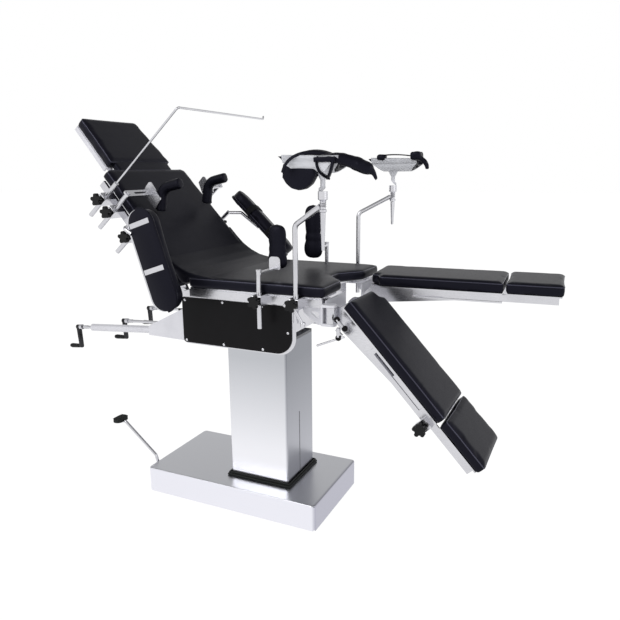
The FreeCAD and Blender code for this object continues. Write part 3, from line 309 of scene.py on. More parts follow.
def add_node(tree, kind, inputs=None, **settings):
    """One node with its settings; a socket among the inputs is linked."""
    item = tree.nodes.new(kind)
    for name, value in settings.items():
        setattr(item, name, value)
    for name, value in (inputs or {}).items():
        if isinstance(value, bpy.types.NodeSocket):
            tree.links.new(value, item.inputs[name])
        else:
            item.inputs[name].default_value = value
    return item


def start_finish(name, **shader_values):
    """An empty material with its shader and object coordinates in millimetres."""
    material = bpy.data.materials.new(name)
    material.use_nodes = True
    tree = material.node_tree
    tree.nodes.clear()
    shader = add_node(tree, "ShaderNodeBsdfPrincipled", shader_values)
    add_node(tree, "ShaderNodeOutputMaterial", {"Surface": shader.outputs[0]})
    place = add_node(tree, "ShaderNodeTexCoord").outputs["Object"]
    return tree, shader, place


def vary_colour(tree, shader, factor, dark, light):
    """Colour between two hex values, by a 0 to 1 pattern."""
    mix = add_node(tree, "ShaderNodeMix", {"Factor": factor}, data_type="RGBA")
    mix.inputs[6].default_value = hex_to_linear(dark)
    mix.inputs[7].default_value = hex_to_linear(light)
    tree.links.new(mix.outputs[2], shader.inputs["Base Color"])


def vary_roughness(tree, shader, factor, low, high):
    """Roughness between two values, by a 0 to 1 pattern."""
    spread = add_node(tree, "ShaderNodeMapRange", {"Value": factor, "To Min": low, "To Max": high})
    tree.links.new(spread.outputs[0], shader.inputs["Roughness"])


def noise(tree, place, size_mm, detail=2.0, stretch=(1, 1, 1)):
    """Noise whose blobs are about size_mm across, stretched along the axes."""
    mapped = add_node(tree, "ShaderNodeMapping", {"Vector": place, "Scale": [1 / s for s in stretch]})
    return add_node(tree, "ShaderNodeTexNoise", {"Vector": mapped.outputs[0], "Scale": 1000 / size_mm,
                                                 "Detail": detail}).outputs["Fac"]


def bump(tree, shader, height, strength, depth_mm, under=None):
    """Relief from a 0 to 1 pattern, laid over the relief under it."""
    inputs = {"Height": height, "Strength": strength, "Distance": depth_mm * MM}
    if under:
        inputs["Normal"] = under
    relief = add_node(tree, "ShaderNodeBump", inputs)
    tree.links.new(relief.outputs[0], shader.inputs["Normal"])
    return relief.outputs[0]


def satin_steel(name, stretch, dark, light, rough):
    """Stainless steel ground with a fine belt: long faint streaks along one way."""
    tree, shader, place = start_finish(name, Metallic=1.0)
    # Real belt lines lie about 0.1 mm apart; these are drawn coarser, so that they show
    streaks = noise(tree, place, size_mm=1.6, detail=4.0, stretch=stretch)
    clouds = noise(tree, place, size_mm=90)
    blend = add_node(tree, "ShaderNodeMath", {0: streaks, 1: clouds}, operation="MULTIPLY")
    vary_colour(tree, shader, blend.outputs[0], dark, light)
    vary_roughness(tree, shader, streaks, rough - 0.04, rough + 0.05)
    bump(tree, shader, streaks, strength=0.05, depth_mm=0.03)


def steel_with_painted_shade(name, low_mm, high_mm, low, high, rough):
    """Stainless sheet ground upwards, dull, with painted light and shade: its colour goes softly from one
    height to another.
    """
    tree, shader, place = start_finish(name, Metallic=1.0)
    # Belt lines drawn coarser than the real 0.1 mm, so that they show
    streaks = noise(tree, place, size_mm=1.2, detail=3.0, stretch=(1, 1, 40))
    # Painted light and shade by height: the low colour up to low_mm, the high colour from high_mm
    height = add_node(tree, "ShaderNodeSeparateXYZ", {0: place}).outputs["Z"]
    ramp = add_node(tree, "ShaderNodeMapRange", {"Value": height, "From Min": low_mm * MM,
                                                 "From Max": high_mm * MM}).outputs[0]
    vary_colour(tree, shader, ramp, low, high)
    vary_roughness(tree, shader, streaks, rough - 0.04, rough + 0.04)
    bump(tree, shader, streaks, strength=0.03, depth_mm=0.02)
    return tree, shader, place


def paint_end_shade(tree, shader, place, start_mm, end_mm, colour):
    """Darkens a sheet past a place along X: painted shade that makes its foot end face a shade duller."""
    along = add_node(tree, "ShaderNodeSeparateXYZ", {0: place}).outputs["X"]
    ramp = add_node(tree, "ShaderNodeMapRange", {"Value": along, "From Min": start_mm * MM,
                                                 "From Max": end_mm * MM}).outputs[0]
    before = shader.inputs["Base Color"].links[0].from_socket
    mix = add_node(tree, "ShaderNodeMix", {"Factor": ramp, 6: before},
                   data_type="RGBA", blend_type="MULTIPLY")
    mix.inputs[7].default_value = hex_to_linear(colour)
    tree.links.new(mix.outputs[2], shader.inputs["Base Color"])


def leatherette(name, dark, light, rough, gloss=0.14):
    """Vinyl-coated upholstery fabric: fine pebble grain over soft creases, with a low sheen."""
    tree, shader, place = start_finish(name)
    shader.inputs["Specular IOR Level"].default_value = gloss
    shader.inputs["Specular Tint"].default_value = hex_to_linear("#DCDCFF")
    # The real grain is about 1 mm; it is drawn twice as coarse, so that it shows
    grain_mm = 2.2
    pebbles = add_node(tree, "ShaderNodeTexVoronoi", {"Vector": place, "Scale": 1000 / grain_mm},
                       feature="SMOOTH_F1").outputs["Distance"]
    creases = noise(tree, place, size_mm=70, detail=3.0, stretch=(1, 2.2, 1))
    mottle = noise(tree, place, size_mm=160)
    vary_colour(tree, shader, mottle, dark, light)
    vary_roughness(tree, shader, pebbles, rough - 0.07, rough + 0.1)
    soft = bump(tree, shader, creases, strength=0.35, depth_mm=3.0)
    bump(tree, shader, pebbles, strength=0.3, depth_mm=0.22, under=soft)


def painted(name, dark, light, rough, metallic=0.0, gloss=0.5):
    """Sprayed and baked coat: an even colour with a slight orange peel."""
    tree, shader, place = start_finish(name, Metallic=metallic)
    shader.inputs["Specular IOR Level"].default_value = gloss
    peel = noise(tree, place, size_mm=1.8)
    wear = noise(tree, place, size_mm=60, detail=4.0)
    vary_colour(tree, shader, wear, dark, light)
    vary_roughness(tree, shader, wear, rough - 0.05, rough + 0.07)
    bump(tree, shader, peel, strength=0.12, depth_mm=0.12)


def moulded(name, dark, light, rough, grain_mm=0.9, gloss=0.5):
    """Injection-moulded plastic or rubber with a fine spark texture."""
    tree, shader, place = start_finish(name)
    shader.inputs["Specular IOR Level"].default_value = gloss
    spark = noise(tree, place, grain_mm, detail=3.0)
    age = noise(tree, place, size_mm=35, detail=3.0)
    vary_colour(tree, shader, age, dark, light)
    vary_roughness(tree, shader, age, rough - 0.06, rough + 0.06)
    bump(tree, shader, spark, strength=0.2, depth_mm=0.1)


def webbing(name, dark, light):
    """Woven strap: crossed threads with a dull, slightly ribbed face."""
    tree, shader, place = start_finish(name)
    # Real threads lie about 0.8 mm apart; the wave is drawn coarser, so that it shows
    wave = {"Vector": place, "Scale": 1000 / 12, "Distortion": 0.6}
    across, along = [add_node(tree, "ShaderNodeTexWave", wave, bands_direction=way).outputs["Fac"]
                     for way in ("X", "Z")]
    weave = add_node(tree, "ShaderNodeMath", {0: across, 1: along}, operation="MULTIPLY").outputs[0]
    vary_colour(tree, shader, weave, dark, light)
    vary_roughness(tree, shader, weave, 0.7, 0.85)
    shader.inputs["Specular IOR Level"].default_value = 0.15
    bump(tree, shader, weave, strength=0.4, depth_mm=0.5)


# Finishes of the parts whose names don't tell them
NODE_FINISHES = {
    "base_cover": "ground stainless sheet, painted shade", "column_skirt": "foot rubber",
    "column_cover": "upright ground stainless, painted light and shade", "chassis": "grey chassis paint",
    "levelling_feet": "foot rubber", "hydraulic_unit": "grey chassis paint",
    "pedal_lever": "bright steel bar", "pedal_pad": "foot rubber", "lift_carriage": "grey chassis paint",
    "tilt_cradle": "grey chassis paint", "table_frame": "bright steel bar",
    "side_panels": "black powder coat", "leg_brackets": "silver enamel",
    "crank_housing": "silver enamel", "crank_back": "black chromed steel",
    "crank_tilt": "black chromed steel", "crank_trend": "black chromed steel",
    "back_frame": "bright steel bar", "head_frame": "silver enamel",
}


def finish_of(node):
    """The finish of a CAD node that stays in sight."""
    if node in NODE_FINISHES:
        return NODE_FINISHES[node]
    if "knob" in node or node.startswith("grip_"):
        return "moulded black knob"
    if node.startswith("crutch_shell"):
        return "moulded pale shell"
    if "_pad" in node:
        return "black leatherette"
    return "bright steel bar"


# Upholstery

def loose_copy(node, name):
    """A welded copy of a CAD node's mesh."""
    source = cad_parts[node]
    item = bpy.data.objects.new(name, source.data.copy())
    bpy.context.scene.collection.objects.link(item)
    for key in list(item.data.attributes.keys()):
        if key.startswith("sharp"):
            item.data.attributes.remove(item.data.attributes[key])
    return outward(item)


def stuff(item, voxel_mm, swell_mm, pressure):
    """Remeshes a pad, lets it swell as filled cloth, and caps how far it may go."""
    apply_modifier(item, "REMESH", mode="VOXEL", voxel_size=voxel_mm * MM, adaptivity=0)
    if swell_mm == 0:
        apply_modifier(item, "SMOOTH", factor=0.5, iterations=2)
        return
    rest = [vertex.co.copy() for vertex in item.data.vertices]
    pick(item)
    cloth = item.modifiers.new("Cloth", "CLOTH")
    for name, value in CLOTH.items():
        setattr(cloth.settings, name, value)
    cloth.settings.uniform_pressure_force = pressure
    cloth.settings.effector_weights.gravity = 0
    cloth.point_cache.frame_start = 1
    cloth.point_cache.frame_end = CLOTH_FRAMES
    for step in range(1, CLOTH_FRAMES + 1):
        bpy.context.scene.frame_set(step)
    bpy.ops.object.modifier_apply(modifier=cloth.name)
    cap = swell_mm * MM
    for vertex, start in zip(item.data.vertices, rest):
        move = vertex.co - start
        if move.length > cap:
            vertex.co = start + move.normalized() * cap
    bpy.context.scene.frame_set(1)
    apply_modifier(item, "SMOOTH", factor=0.5, iterations=3)


def shrink(item, depth_mm):
    """Moves the surface inwards so that the swollen pad keeps its size."""
    apply_modifier(item, "DISPLACE", strength=-depth_mm * MM, mid_level=0)


def trim(item, way, low, high):
    """Cuts off what lies past the line from low to high: towards the foot end (1) or the head end (-1)."""
    normal = Vector((high[1] - low[1], 0, low[0] - high[0])) * way
    pick(item)
    bpy.ops.object.mode_set(mode="EDIT")
    bpy.ops.mesh.select_all(action="SELECT")
    bpy.ops.mesh.bisect(plane_co=(low[0] * MM, 0, low[1] * MM), plane_no=normal,
                        use_fill=True, clear_outer=True)
    bpy.ops.object.mode_set(mode="OBJECT")
    outward(item)


def piping(pad, name, place, height_mm, body, radius_mm=1.8):
    """A welt that follows the pad's own side at one height of its section."""
    seam = pad.copy()
    seam.data = pad.data.copy()
    bpy.context.scene.collection.objects.link(seam)
    normal = place.to_3x3() @ Vector((0, 0, 1))
    spot = place @ Vector((0, 0, height_mm * MM))
    pick(seam)
    bpy.ops.object.mode_set(mode="EDIT")
    bpy.ops.mesh.select_all(action="SELECT")
    bpy.ops.mesh.bisect(plane_co=spot, plane_no=normal, clear_inner=True, clear_outer=True)
    bpy.ops.object.mode_set(mode="OBJECT")
    bpy.ops.object.convert(target="CURVE")
    seam = bpy.context.object
    seam.data.bevel_depth = radius_mm * MM
    seam.data.bevel_resolution = 2
    bpy.ops.object.convert(target="MESH")
    seam = outward(bpy.context.object)
    # The welt's lighter colour is a painted highlight along the seam
    add_piece(smooth(seam, 60), name, body, "sewn welt, painted highlight")


def upholster(node, body, settings, voxel=8.0, swell=4.0, pressure=3.0, place=None, seam=None,
              cuts=(), inset=0.6):
    """The visible pad for one CAD pad, with its welt."""
    pad = loose_copy(node, node + "_cover")
    for cut in cuts:
        trim(pad, *cut)
    shrink(pad, inset)
    stuff(pad, voxel * settings.mesh_scale, swell * settings.fullness, pressure)
    apply_modifier(pad, "SUBSURF", levels=1, render_levels=1)
    smooth(pad, 180)
    add_piece(pad, node + "_cover", body, "black leatherette")
    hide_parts(node)
    if seam is not None:
        piping(pad, node + "_welt", place, seam, body)


def upright(points, y, width):
    """A soft pad from its outline in the XZ plane, across a width along Y."""
    return plate(points, width, shift(0, y, 0) @ turn("X", 90), 0)


def billow(item, voxel_mm, swell_mm):
    """Fills a flat-cut cushion and softens it."""
    stuff(item, voxel_mm, swell_mm, pressure=4.0)
    apply_modifier(item, "SMOOTH", factor=0.5, iterations=2)
    apply_modifier(item, "SUBSURF", levels=1, render_levels=1)
    smooth(item, 180)


def crumple(item, size_mm, depth_mm):
    """Folds of gathered cloth."""
    texture = bpy.data.textures.new("folds", "CLOUDS")
    texture.noise_scale = size_mm * MM * 2
    apply_modifier(item, "DISPLACE", texture=texture, strength=depth_mm * MM, mid_level=0.5)


# What a user may change

class TablePads(bpy.types.PropertyGroup):
    """Sizes of the upholstery."""
    mesh_scale: bpy.props.FloatProperty(name="Mesh scale", description="Coarser above 1", default=1.0)
    fullness: bpy.props.FloatProperty(name="Fullness", description="How far the pads swell", default=1.0)
    fillet_width: bpy.props.FloatProperty(
        name="Fillet width", description="Width of the curved pad between seat and back",
        default=0.494, subtype="DISTANCE")


class TableStage(bpy.types.PropertyGroup):
    """Camera and light."""
    lens: bpy.props.FloatProperty(name="Lens", description="Focal length", default=36.0855, unit="CAMERA")
    key_power: bpy.props.FloatProperty(
        name="Key light", description="Power of the main softbox", default=55.0, unit="POWER")
    fill_power: bpy.props.FloatProperty(
        name="Fill light", description="Power of the fill softbox", default=22.0, unit="POWER")
    ambient: bpy.props.FloatProperty(
        name="Ambient", description="Strength of the surrounding light", default=0.62)
    floor_colour: bpy.props.StringProperty(name="Floor", description="Floor colour", default="#FCFCFC")


# The steps: stage, finishes and pieces

class TABLE_OT_stage(bpy.types.Operator):
    """Camera, floor, lamps and surroundings"""
    bl_idname = "table.stage"
    bl_label = "Stage"

    def execute(self, context):
        settings = context.scene.table_stage
        self.add_camera(settings)
        self.add_floor(settings)
        self.add_world(settings)
        self.add_lamp("key_softbox", (-1.6, -3.4, 3.4), 2.6, settings.key_power)
        self.add_lamp("fill_softbox", (3.6, -1.0, 2.2), 2.4, settings.fill_power)
        context.scene.view_settings.view_transform = "Standard"
        return {"FINISHED"}

    def add_camera(self, settings):
        """The camera looks along forward, and its roll turns side and top about it."""
        azimuth, elevation, roll = (math.radians(angle)
                                    for angle in (CAMERA_AZIMUTH, CAMERA_ELEVATION, CAMERA_ROLL))
        forward = Vector((-math.sin(azimuth) * math.cos(elevation), math.cos(azimuth) * math.cos(elevation),
                          -math.sin(elevation)))
        right = Vector((math.cos(azimuth), math.sin(azimuth), 0))
        up = right.cross(forward)
        side = math.cos(roll) * right + math.sin(roll) * up
        top = -math.sin(roll) * right + math.cos(roll) * up
        data = bpy.data.cameras.new("Camera")
        data.sensor_width = 36
        data.lens = settings.lens
        camera = bpy.data.objects.new("Camera", data)
        bpy.context.scene.collection.objects.link(camera)
        axes = Matrix((side, top, -forward)).transposed().to_4x4()
        camera.matrix_world = Matrix.Translation(CAMERA_SPOT) @ axes
        bpy.context.scene.camera = camera

    def add_floor(self, settings):
        """A pale floor that looks white to the eye and in reflections, and keeps the shadow."""
        fresh()
        bpy.ops.mesh.primitive_plane_add(size=60, location=(0, 0, 0))
        floor = bpy.context.object
        floor.name = "floor"
        tree, shader, place = start_finish("studio floor")
        grain = noise(tree, place, size_mm=400, detail=1.0)
        vary_colour(tree, shader, grain, settings.floor_colour, "#FFFFFF")
        vary_roughness(tree, shader, grain, 0.85, 0.9)
        path = add_node(tree, "ShaderNodeLightPath")
        seen = add_node(tree, "ShaderNodeMath", {0: path.outputs["Is Camera Ray"],
                                                 1: path.outputs["Is Glossy Ray"]}, operation="MAXIMUM")
        also = add_node(tree, "ShaderNodeMath", {0: seen.outputs[0], 1: path.outputs["Is Transmission Ray"]},
                        operation="MAXIMUM")
        share = add_node(tree, "ShaderNodeMath", {0: also.outputs[0], 1: 0.93}, operation="MULTIPLY")
        glow = add_node(tree, "ShaderNodeEmission", {"Color": (1, 1, 1, 1), "Strength": 1.06})
        blend = add_node(tree, "ShaderNodeMixShader", {0: share.outputs[0]})
        tree.links.new(shader.outputs[0], blend.inputs[1])
        tree.links.new(glow.outputs[0], blend.inputs[2])
        output = next(item for item in tree.nodes if item.bl_idname == "ShaderNodeOutputMaterial")
        tree.links.new(blend.outputs[0], output.inputs["Surface"])
        floor.data.materials.append(bpy.data.materials["studio floor"])

    def add_world(self, settings):
        """White to the eye, softer as light, and dimmer overhead in reflections."""
        world = bpy.data.worlds.new("surroundings")
        bpy.context.scene.world = world
        world.use_nodes = True
        tree = world.node_tree
        tree.nodes.clear()
        path = add_node(tree, "ShaderNodeLightPath")
        direction = add_node(tree, "ShaderNodeTexCoord").outputs["Generated"]
        height = add_node(tree, "ShaderNodeSeparateXYZ", {0: direction}).outputs["Z"]
        ramp = add_node(tree, "ShaderNodeMapRange", {"Value": height, "From Min": 0.15, "From Max": 0.85,
                                                     "To Min": 1.0, "To Max": 0.3})
        seen = add_node(tree, "ShaderNodeMath", {0: path.outputs["Is Camera Ray"],
                                                 1: path.outputs["Is Transmission Ray"]}, operation="MAXIMUM")
        glossy = add_node(tree, "ShaderNodeMix", {"Factor": path.outputs["Is Glossy Ray"],
                                                  "A": settings.ambient, "B": ramp.outputs[0]})
        strength = add_node(tree, "ShaderNodeMix", {"Factor": seen.outputs[0],
                                                    "A": glossy.outputs[0], "B": 1.0})
        shade = add_node(tree, "ShaderNodeBackground", {"Color": (1, 1, 1, 1),
                                                        "Strength": strength.outputs[0]})
        add_node(tree, "ShaderNodeOutputWorld", {"Surface": shade.outputs[0]})

    def add_lamp(self, name, spot, size, power):
        """A round softbox aimed at the table top."""
        data = bpy.data.lights.new(name, "AREA")
        data.shape = "DISK"
        data.size = size
        data.energy = power
        lamp = bpy.data.objects.new(name, data)
        bpy.context.scene.collection.objects.link(lamp)
        lamp.location = spot
        aim = Vector((0, 0, 0.8)) - Vector(spot)
        lamp.rotation_euler = aim.to_track_quat("-Z", "Y").to_euler()


class TABLE_OT_finishes(bpy.types.Operator):
    """Makes the finishes and gives them to the metal and plastic parts"""
    bl_idname = "table.finishes"
    bl_label = "Finishes"

    def execute(self, context):
        # Folded stainless sheet, belt-ground: a dull mirror, with painted shade: its top face is coloured a
        # shade darker than its sides, and its foot end face darker too
        base = steel_with_painted_shade("ground stainless sheet, painted shade", 96, 99.8, "#EBEBF3", "#CACBD0", 0.3)
        paint_end_shade(*base, 338, 348, "#C3C3CA")
        # The same sheet ground upwards, with painted light and shade: pale near the floor, darker under the
        # top, and its foot end face darker too
        column = steel_with_painted_shade("upright ground stainless, painted light and shade", 130, 560, "#FAFAFF", "#BFC1C6", 0.3)
        paint_end_shade(*column, 198, 206, "#BCBDC1")
        # Drawn stainless bar, polished along its length: bright, with crisp highlights
        satin_steel("bright steel bar", (8, 1, 1), "#C4C4C9", "#EEEEF2", 0.24)
        # Vinyl-coated fabric: near black with a cool, low sheen
        leatherette("black leatherette", "#0B0B11", "#15151D", 0.4)
        # Vinyl piping, stretched tight, coloured lighter than the pads: a painted highlight along each seam
        leatherette("sewn welt, painted highlight", "#2C2C36", "#41414D", 0.28, 0.5)
        # Powder coat on sheet steel: even black with a slight orange peel
        painted("black powder coat", "#0A090B", "#111013", 0.36, gloss=0.12)
        # Stoved enamel with metal flake: pale, with a soft metallic shine
        painted("silver enamel", "#D2D2D9", "#E9E9EF", 0.36, 0.35)
        # Brushed-on chassis paint: plain mid grey, half matt
        painted("grey chassis paint", "#6E7074", "#85878B", 0.5)
        # Black chrome on steel: dark, with sharp reflections
        painted("black chromed steel", "#1F1F22", "#38383C", 0.25, 0.7)
        # Moulded phenolic plastic: black and smooth, with small highlights
        moulded("moulded black knob", "#0C0C0E", "#161618", 0.4, gloss=0.2)
        # Moulded polypropylene: pale grey with a soft gloss
        moulded("moulded pale shell", "#D3D5DC", "#E8E9EE", 0.3)
        # Moulded natural rubber: dull dark grey with a coarse skin
        moulded("foot rubber", "#121514", "#1E2120", 0.6, 1.6, 0.25)
        # Woven polyester strap: dull black with a fine rib
        webbing("black webbing", "#0C0C0F", "#202025")
        for node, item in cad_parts.items():
            item.data.materials.clear()
            item.data.materials.append(bpy.data.materials[finish_of(node)])
        return {"FINISHED"}


class TABLE_OT_main_pads(bpy.types.Operator):
    """Seat, back, head, leg and foot pads"""
    bl_idname = "table.main_pads"
    bl_label = "Main pads"

    def execute(self, context):
        settings = context.scene.table_pads
        pads = [("seat_pad", "top", 7.5, TABLE, 857), ("back_pad", "back", 7.5, BACK, 56),
                ("head_pad", "head", 6.0, HEAD, 32)]
        for side in (NEAR, FAR):
            pads.append(("leg_pad_" + side, "leg_" + side, 6.5, LEG[side], 76))
            pads.append(("foot_pad_" + side, "foot_" + side, 6.0, LEG[side], 76))
        for node, body, voxel, place, seam in pads:
            upholster(node, body, settings, voxel, swell=3.0, pressure=3.0, place=place, seam=seam)
        return {"FINISHED"}


class TABLE_OT_corner_pad(bpy.types.Operator):
    """The curved pad that fills the corner between the seat and the raised back"""
    bl_idname = "table.corner_pad"
    bl_label = "Corner pad"

    def execute(self, context):
        half = context.scene.table_pads.fillet_width / 2 / MM
        fresh()
        bpy.ops.mesh.primitive_circle_add(vertices=len(CORNER_OUTLINE), radius=1, fill_type="NGON")
        pad = bpy.context.object
        for vertex, point in zip(pad.data.vertices, CORNER_OUTLINE):
            vertex.co = (point[0] * MM, -half * MM, point[1] * MM)
        bpy.ops.object.mode_set(mode="EDIT")
        bpy.ops.mesh.select_all(action="SELECT")
        bpy.ops.mesh.extrude_region_move(TRANSFORM_OT_translate={"value": (0, 2 * half * MM, 0)})
        bpy.ops.object.mode_set(mode="OBJECT")
        outward(pad)
        stuff(pad, voxel_mm=5.0, swell_mm=0, pressure=0)
        apply_modifier(pad, "SMOOTH", factor=0.5, iterations=6)
        apply_modifier(pad, "SUBSURF", levels=1, render_levels=1)
        smooth(pad, 180)
        add_piece(pad, "corner_pad", None, "black leatherette")
        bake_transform(pad, "back", "top", start=(-0.150, 0, 0.93), end=(-0.06, 0, 0.85))
        return {"FINISHED"}


class TABLE_OT_side_pads(bpy.types.Operator):
    """Body support pads, gathered in rings, and shoulder support pads"""
    bl_idname = "table.side_pads"
    bl_label = "Support pads"

    def execute(self, context):
        settings = context.scene.table_pads
        flatten = Matrix.Diagonal((1, 0.44, 1, 1))
        for side in (NEAR, FAR):
            pad = turned(BOLSTERS[side], shift(199, SIGN[side] * 137.8, 0) @ flatten, 48)
            apply_modifier(pad, "SUBSURF", levels=1, render_levels=1)
            add_piece(smooth(pad, 180), "side_pad_%s_cover" % side, "side_support_" + side,
                      "black leatherette")
            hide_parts("side_pad_" + side)
            upholster("shoulder_pad_" + side, "shoulder_" + side, settings, voxel=4.5, swell=2.0)
        return {"FINISHED"}


class TABLE_OT_arm_pads(bpy.types.Operator):
    """Arm board pads"""
    bl_idname = "table.arm_pads"
    bl_label = "Arm pads"

    def execute(self, context):
        settings = context.scene.table_pads
        for side in (NEAR, FAR):
            upholster("arm_pad_" + side, "arm_board_" + side, settings, voxel=5.0, pressure=4.0,
                      place=BOARD[side], seam=4)
        return {"FINISHED"}


class TABLE_OT_pedal_rubber(bpy.types.Operator):
    """Ribbed rubber of the pump pedal"""
    bl_idname = "table.pedal_rubber"
    bl_label = "Pedal rubber"

    def execute(self, context):
        pad = loose_copy("pedal_pad", "pedal_rubber")
        ribs = [slab((34, 2.2, 1.6), (-534, -120 + 8 * step, 246.4), round_off=0.5) for step in range(-3, 4)]
        item = join(pad, *ribs)
        add_piece(smooth(item), "pedal_rubber", "pedal", "foot rubber")
        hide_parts("pedal_pad")
        return {"FINISHED"}


class TABLE_OT_panel_screws(bpy.types.Operator):
    """Screw heads of the black side panels"""
    bl_idname = "table.panel_screws"
    bl_label = "Panel screws"

    def execute(self, context):
        for side in (NEAR, FAR):
            heads = []
            for x, z in SCREW_SPOTS:
                place = shift(x, SIGN[side] * 215, z) @ turn("X", -90 * SIGN[side])
                heads.append(turned(SCREW_PROFILE, place, 20))
            add_piece(smooth(join(*heads), 30), "panel_screws_" + side, "top", "bright steel bar")
        return {"FINISHED"}


class TABLE_OT_column_seam(bpy.types.Operator):
    """Folded seam in the foot end face of the column cover"""
    bl_idname = "table.column_seam"
    bl_label = "Column seam"

    def execute(self, context):
        seam = slab((1.2, 3, 230), (COLUMN_FOOT + 0.2, -8, 236), round_off=0.4)
        add_piece(smooth(seam), "column_seam", "lift", "grey chassis paint")
        return {"FINISHED"}


class TABLE_OT_base_corners(bpy.types.Operator):
    """Rounded upright corners of the base cover"""
    bl_idname = "table.base_corners"
    bl_label = "Base corners"

    def execute(self, context):
        profile = [(0, 9), (BASE_ROUND, 9), (BASE_ROUND, 95), (0, 95)]
        along, across = BASE_CORNER
        corners = [turned(profile, shift(x, y, 0), 48) for x in (-along, along) for y in (-across, across)]
        # The corners take the base cover's finish, with its painted shade
        add_piece(smooth(join(*corners)), "base_corners", "base", "ground stainless sheet, painted shade")
        return {"FINISHED"}


class TABLE_OT_column_skirt(bpy.types.Operator):
    """Double rubber bead round the foot of the column"""
    bl_idname = "table.column_skirt"
    bl_label = "Column skirt"

    def execute(self, context):
        beads = [self.bead(104, 8.5, 5.0), self.bead(111.5, 5.5, 4.2)]
        skirt = add_piece(smooth(join(*beads), 50), "column_bead", "base", "foot rubber")
        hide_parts("column_skirt")
        return {"FINISHED"}

    def bead(self, height, reach, radius):
        """A ring round the column at one height, with its middle line a reach away from the faces."""
        left, right, half = COLUMN_HEAD - reach, COLUMN_FOOT + reach, COLUMN_HALF + reach
        return rod([(90, -half, height), (left, -half, height), (left, half, height), (right, half, height),
                    (right, -half, height), (90, -half, height)], radius, order=2, sides=3)


class TABLE_OT_neck_flap(bpy.types.Operator):
    """Soft dark flap that closes the gap between the back pad and the head pad: a dark piece that stands in
    for the shade in the gap
    """
    bl_idname = "table.neck_flap"
    bl_label = "Neck flap"

    def execute(self, context):
        # Dark leatherette where the gap lies in shade: a piece standing in for painted shade
        flap = slab((54, 296, 26), (-506, 0, 45), BACK, 8, 3)
        apply_modifier(flap, "SUBSURF", levels=1, render_levels=1)
        smooth(flap, 180)
        add_piece(flap, "neck_flap", None, "black leatherette")
        start = BACK @ Vector((-0.488, 0, 0.045))
        end = BACK @ Vector((-0.524, 0, 0.045))
        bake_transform(flap, "back", "head", start=tuple(start), end=tuple(end))
        return {"FINISHED"}


class TABLE_OT_crutch_gutters(bpy.types.Operator):
    """Troughs of the two knee crutches, cut obliquely at both ends, and their liners"""
    bl_idname = "table.crutch_gutters"
    bl_label = "Crutch gutters"

    def execute(self, context):
        for side, (middle, reach) in GUTTERS.items():
            ends = [(-1, (middle - 54, GUTTER_FLOOR), (middle - reach, GUTTER_RIM)),
                    (1, (middle + 58, GUTTER_FLOOR), (middle + 82, GUTTER_RIM))]
            upholster("crutch_pad_" + side, "gutter_" + side, context.scene.table_pads, voxel=3.5, swell=1.0,
                      cuts=ends, inset=1.6)
            shell = loose_copy("crutch_shell_" + side, "crutch_trough_" + side)
            for end in ends:
                trim(shell, *end)
            add_piece(smooth(shell), "crutch_trough_" + side, "gutter_" + side, "moulded pale shell")
            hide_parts("crutch_shell_" + side)
        return {"FINISHED"}


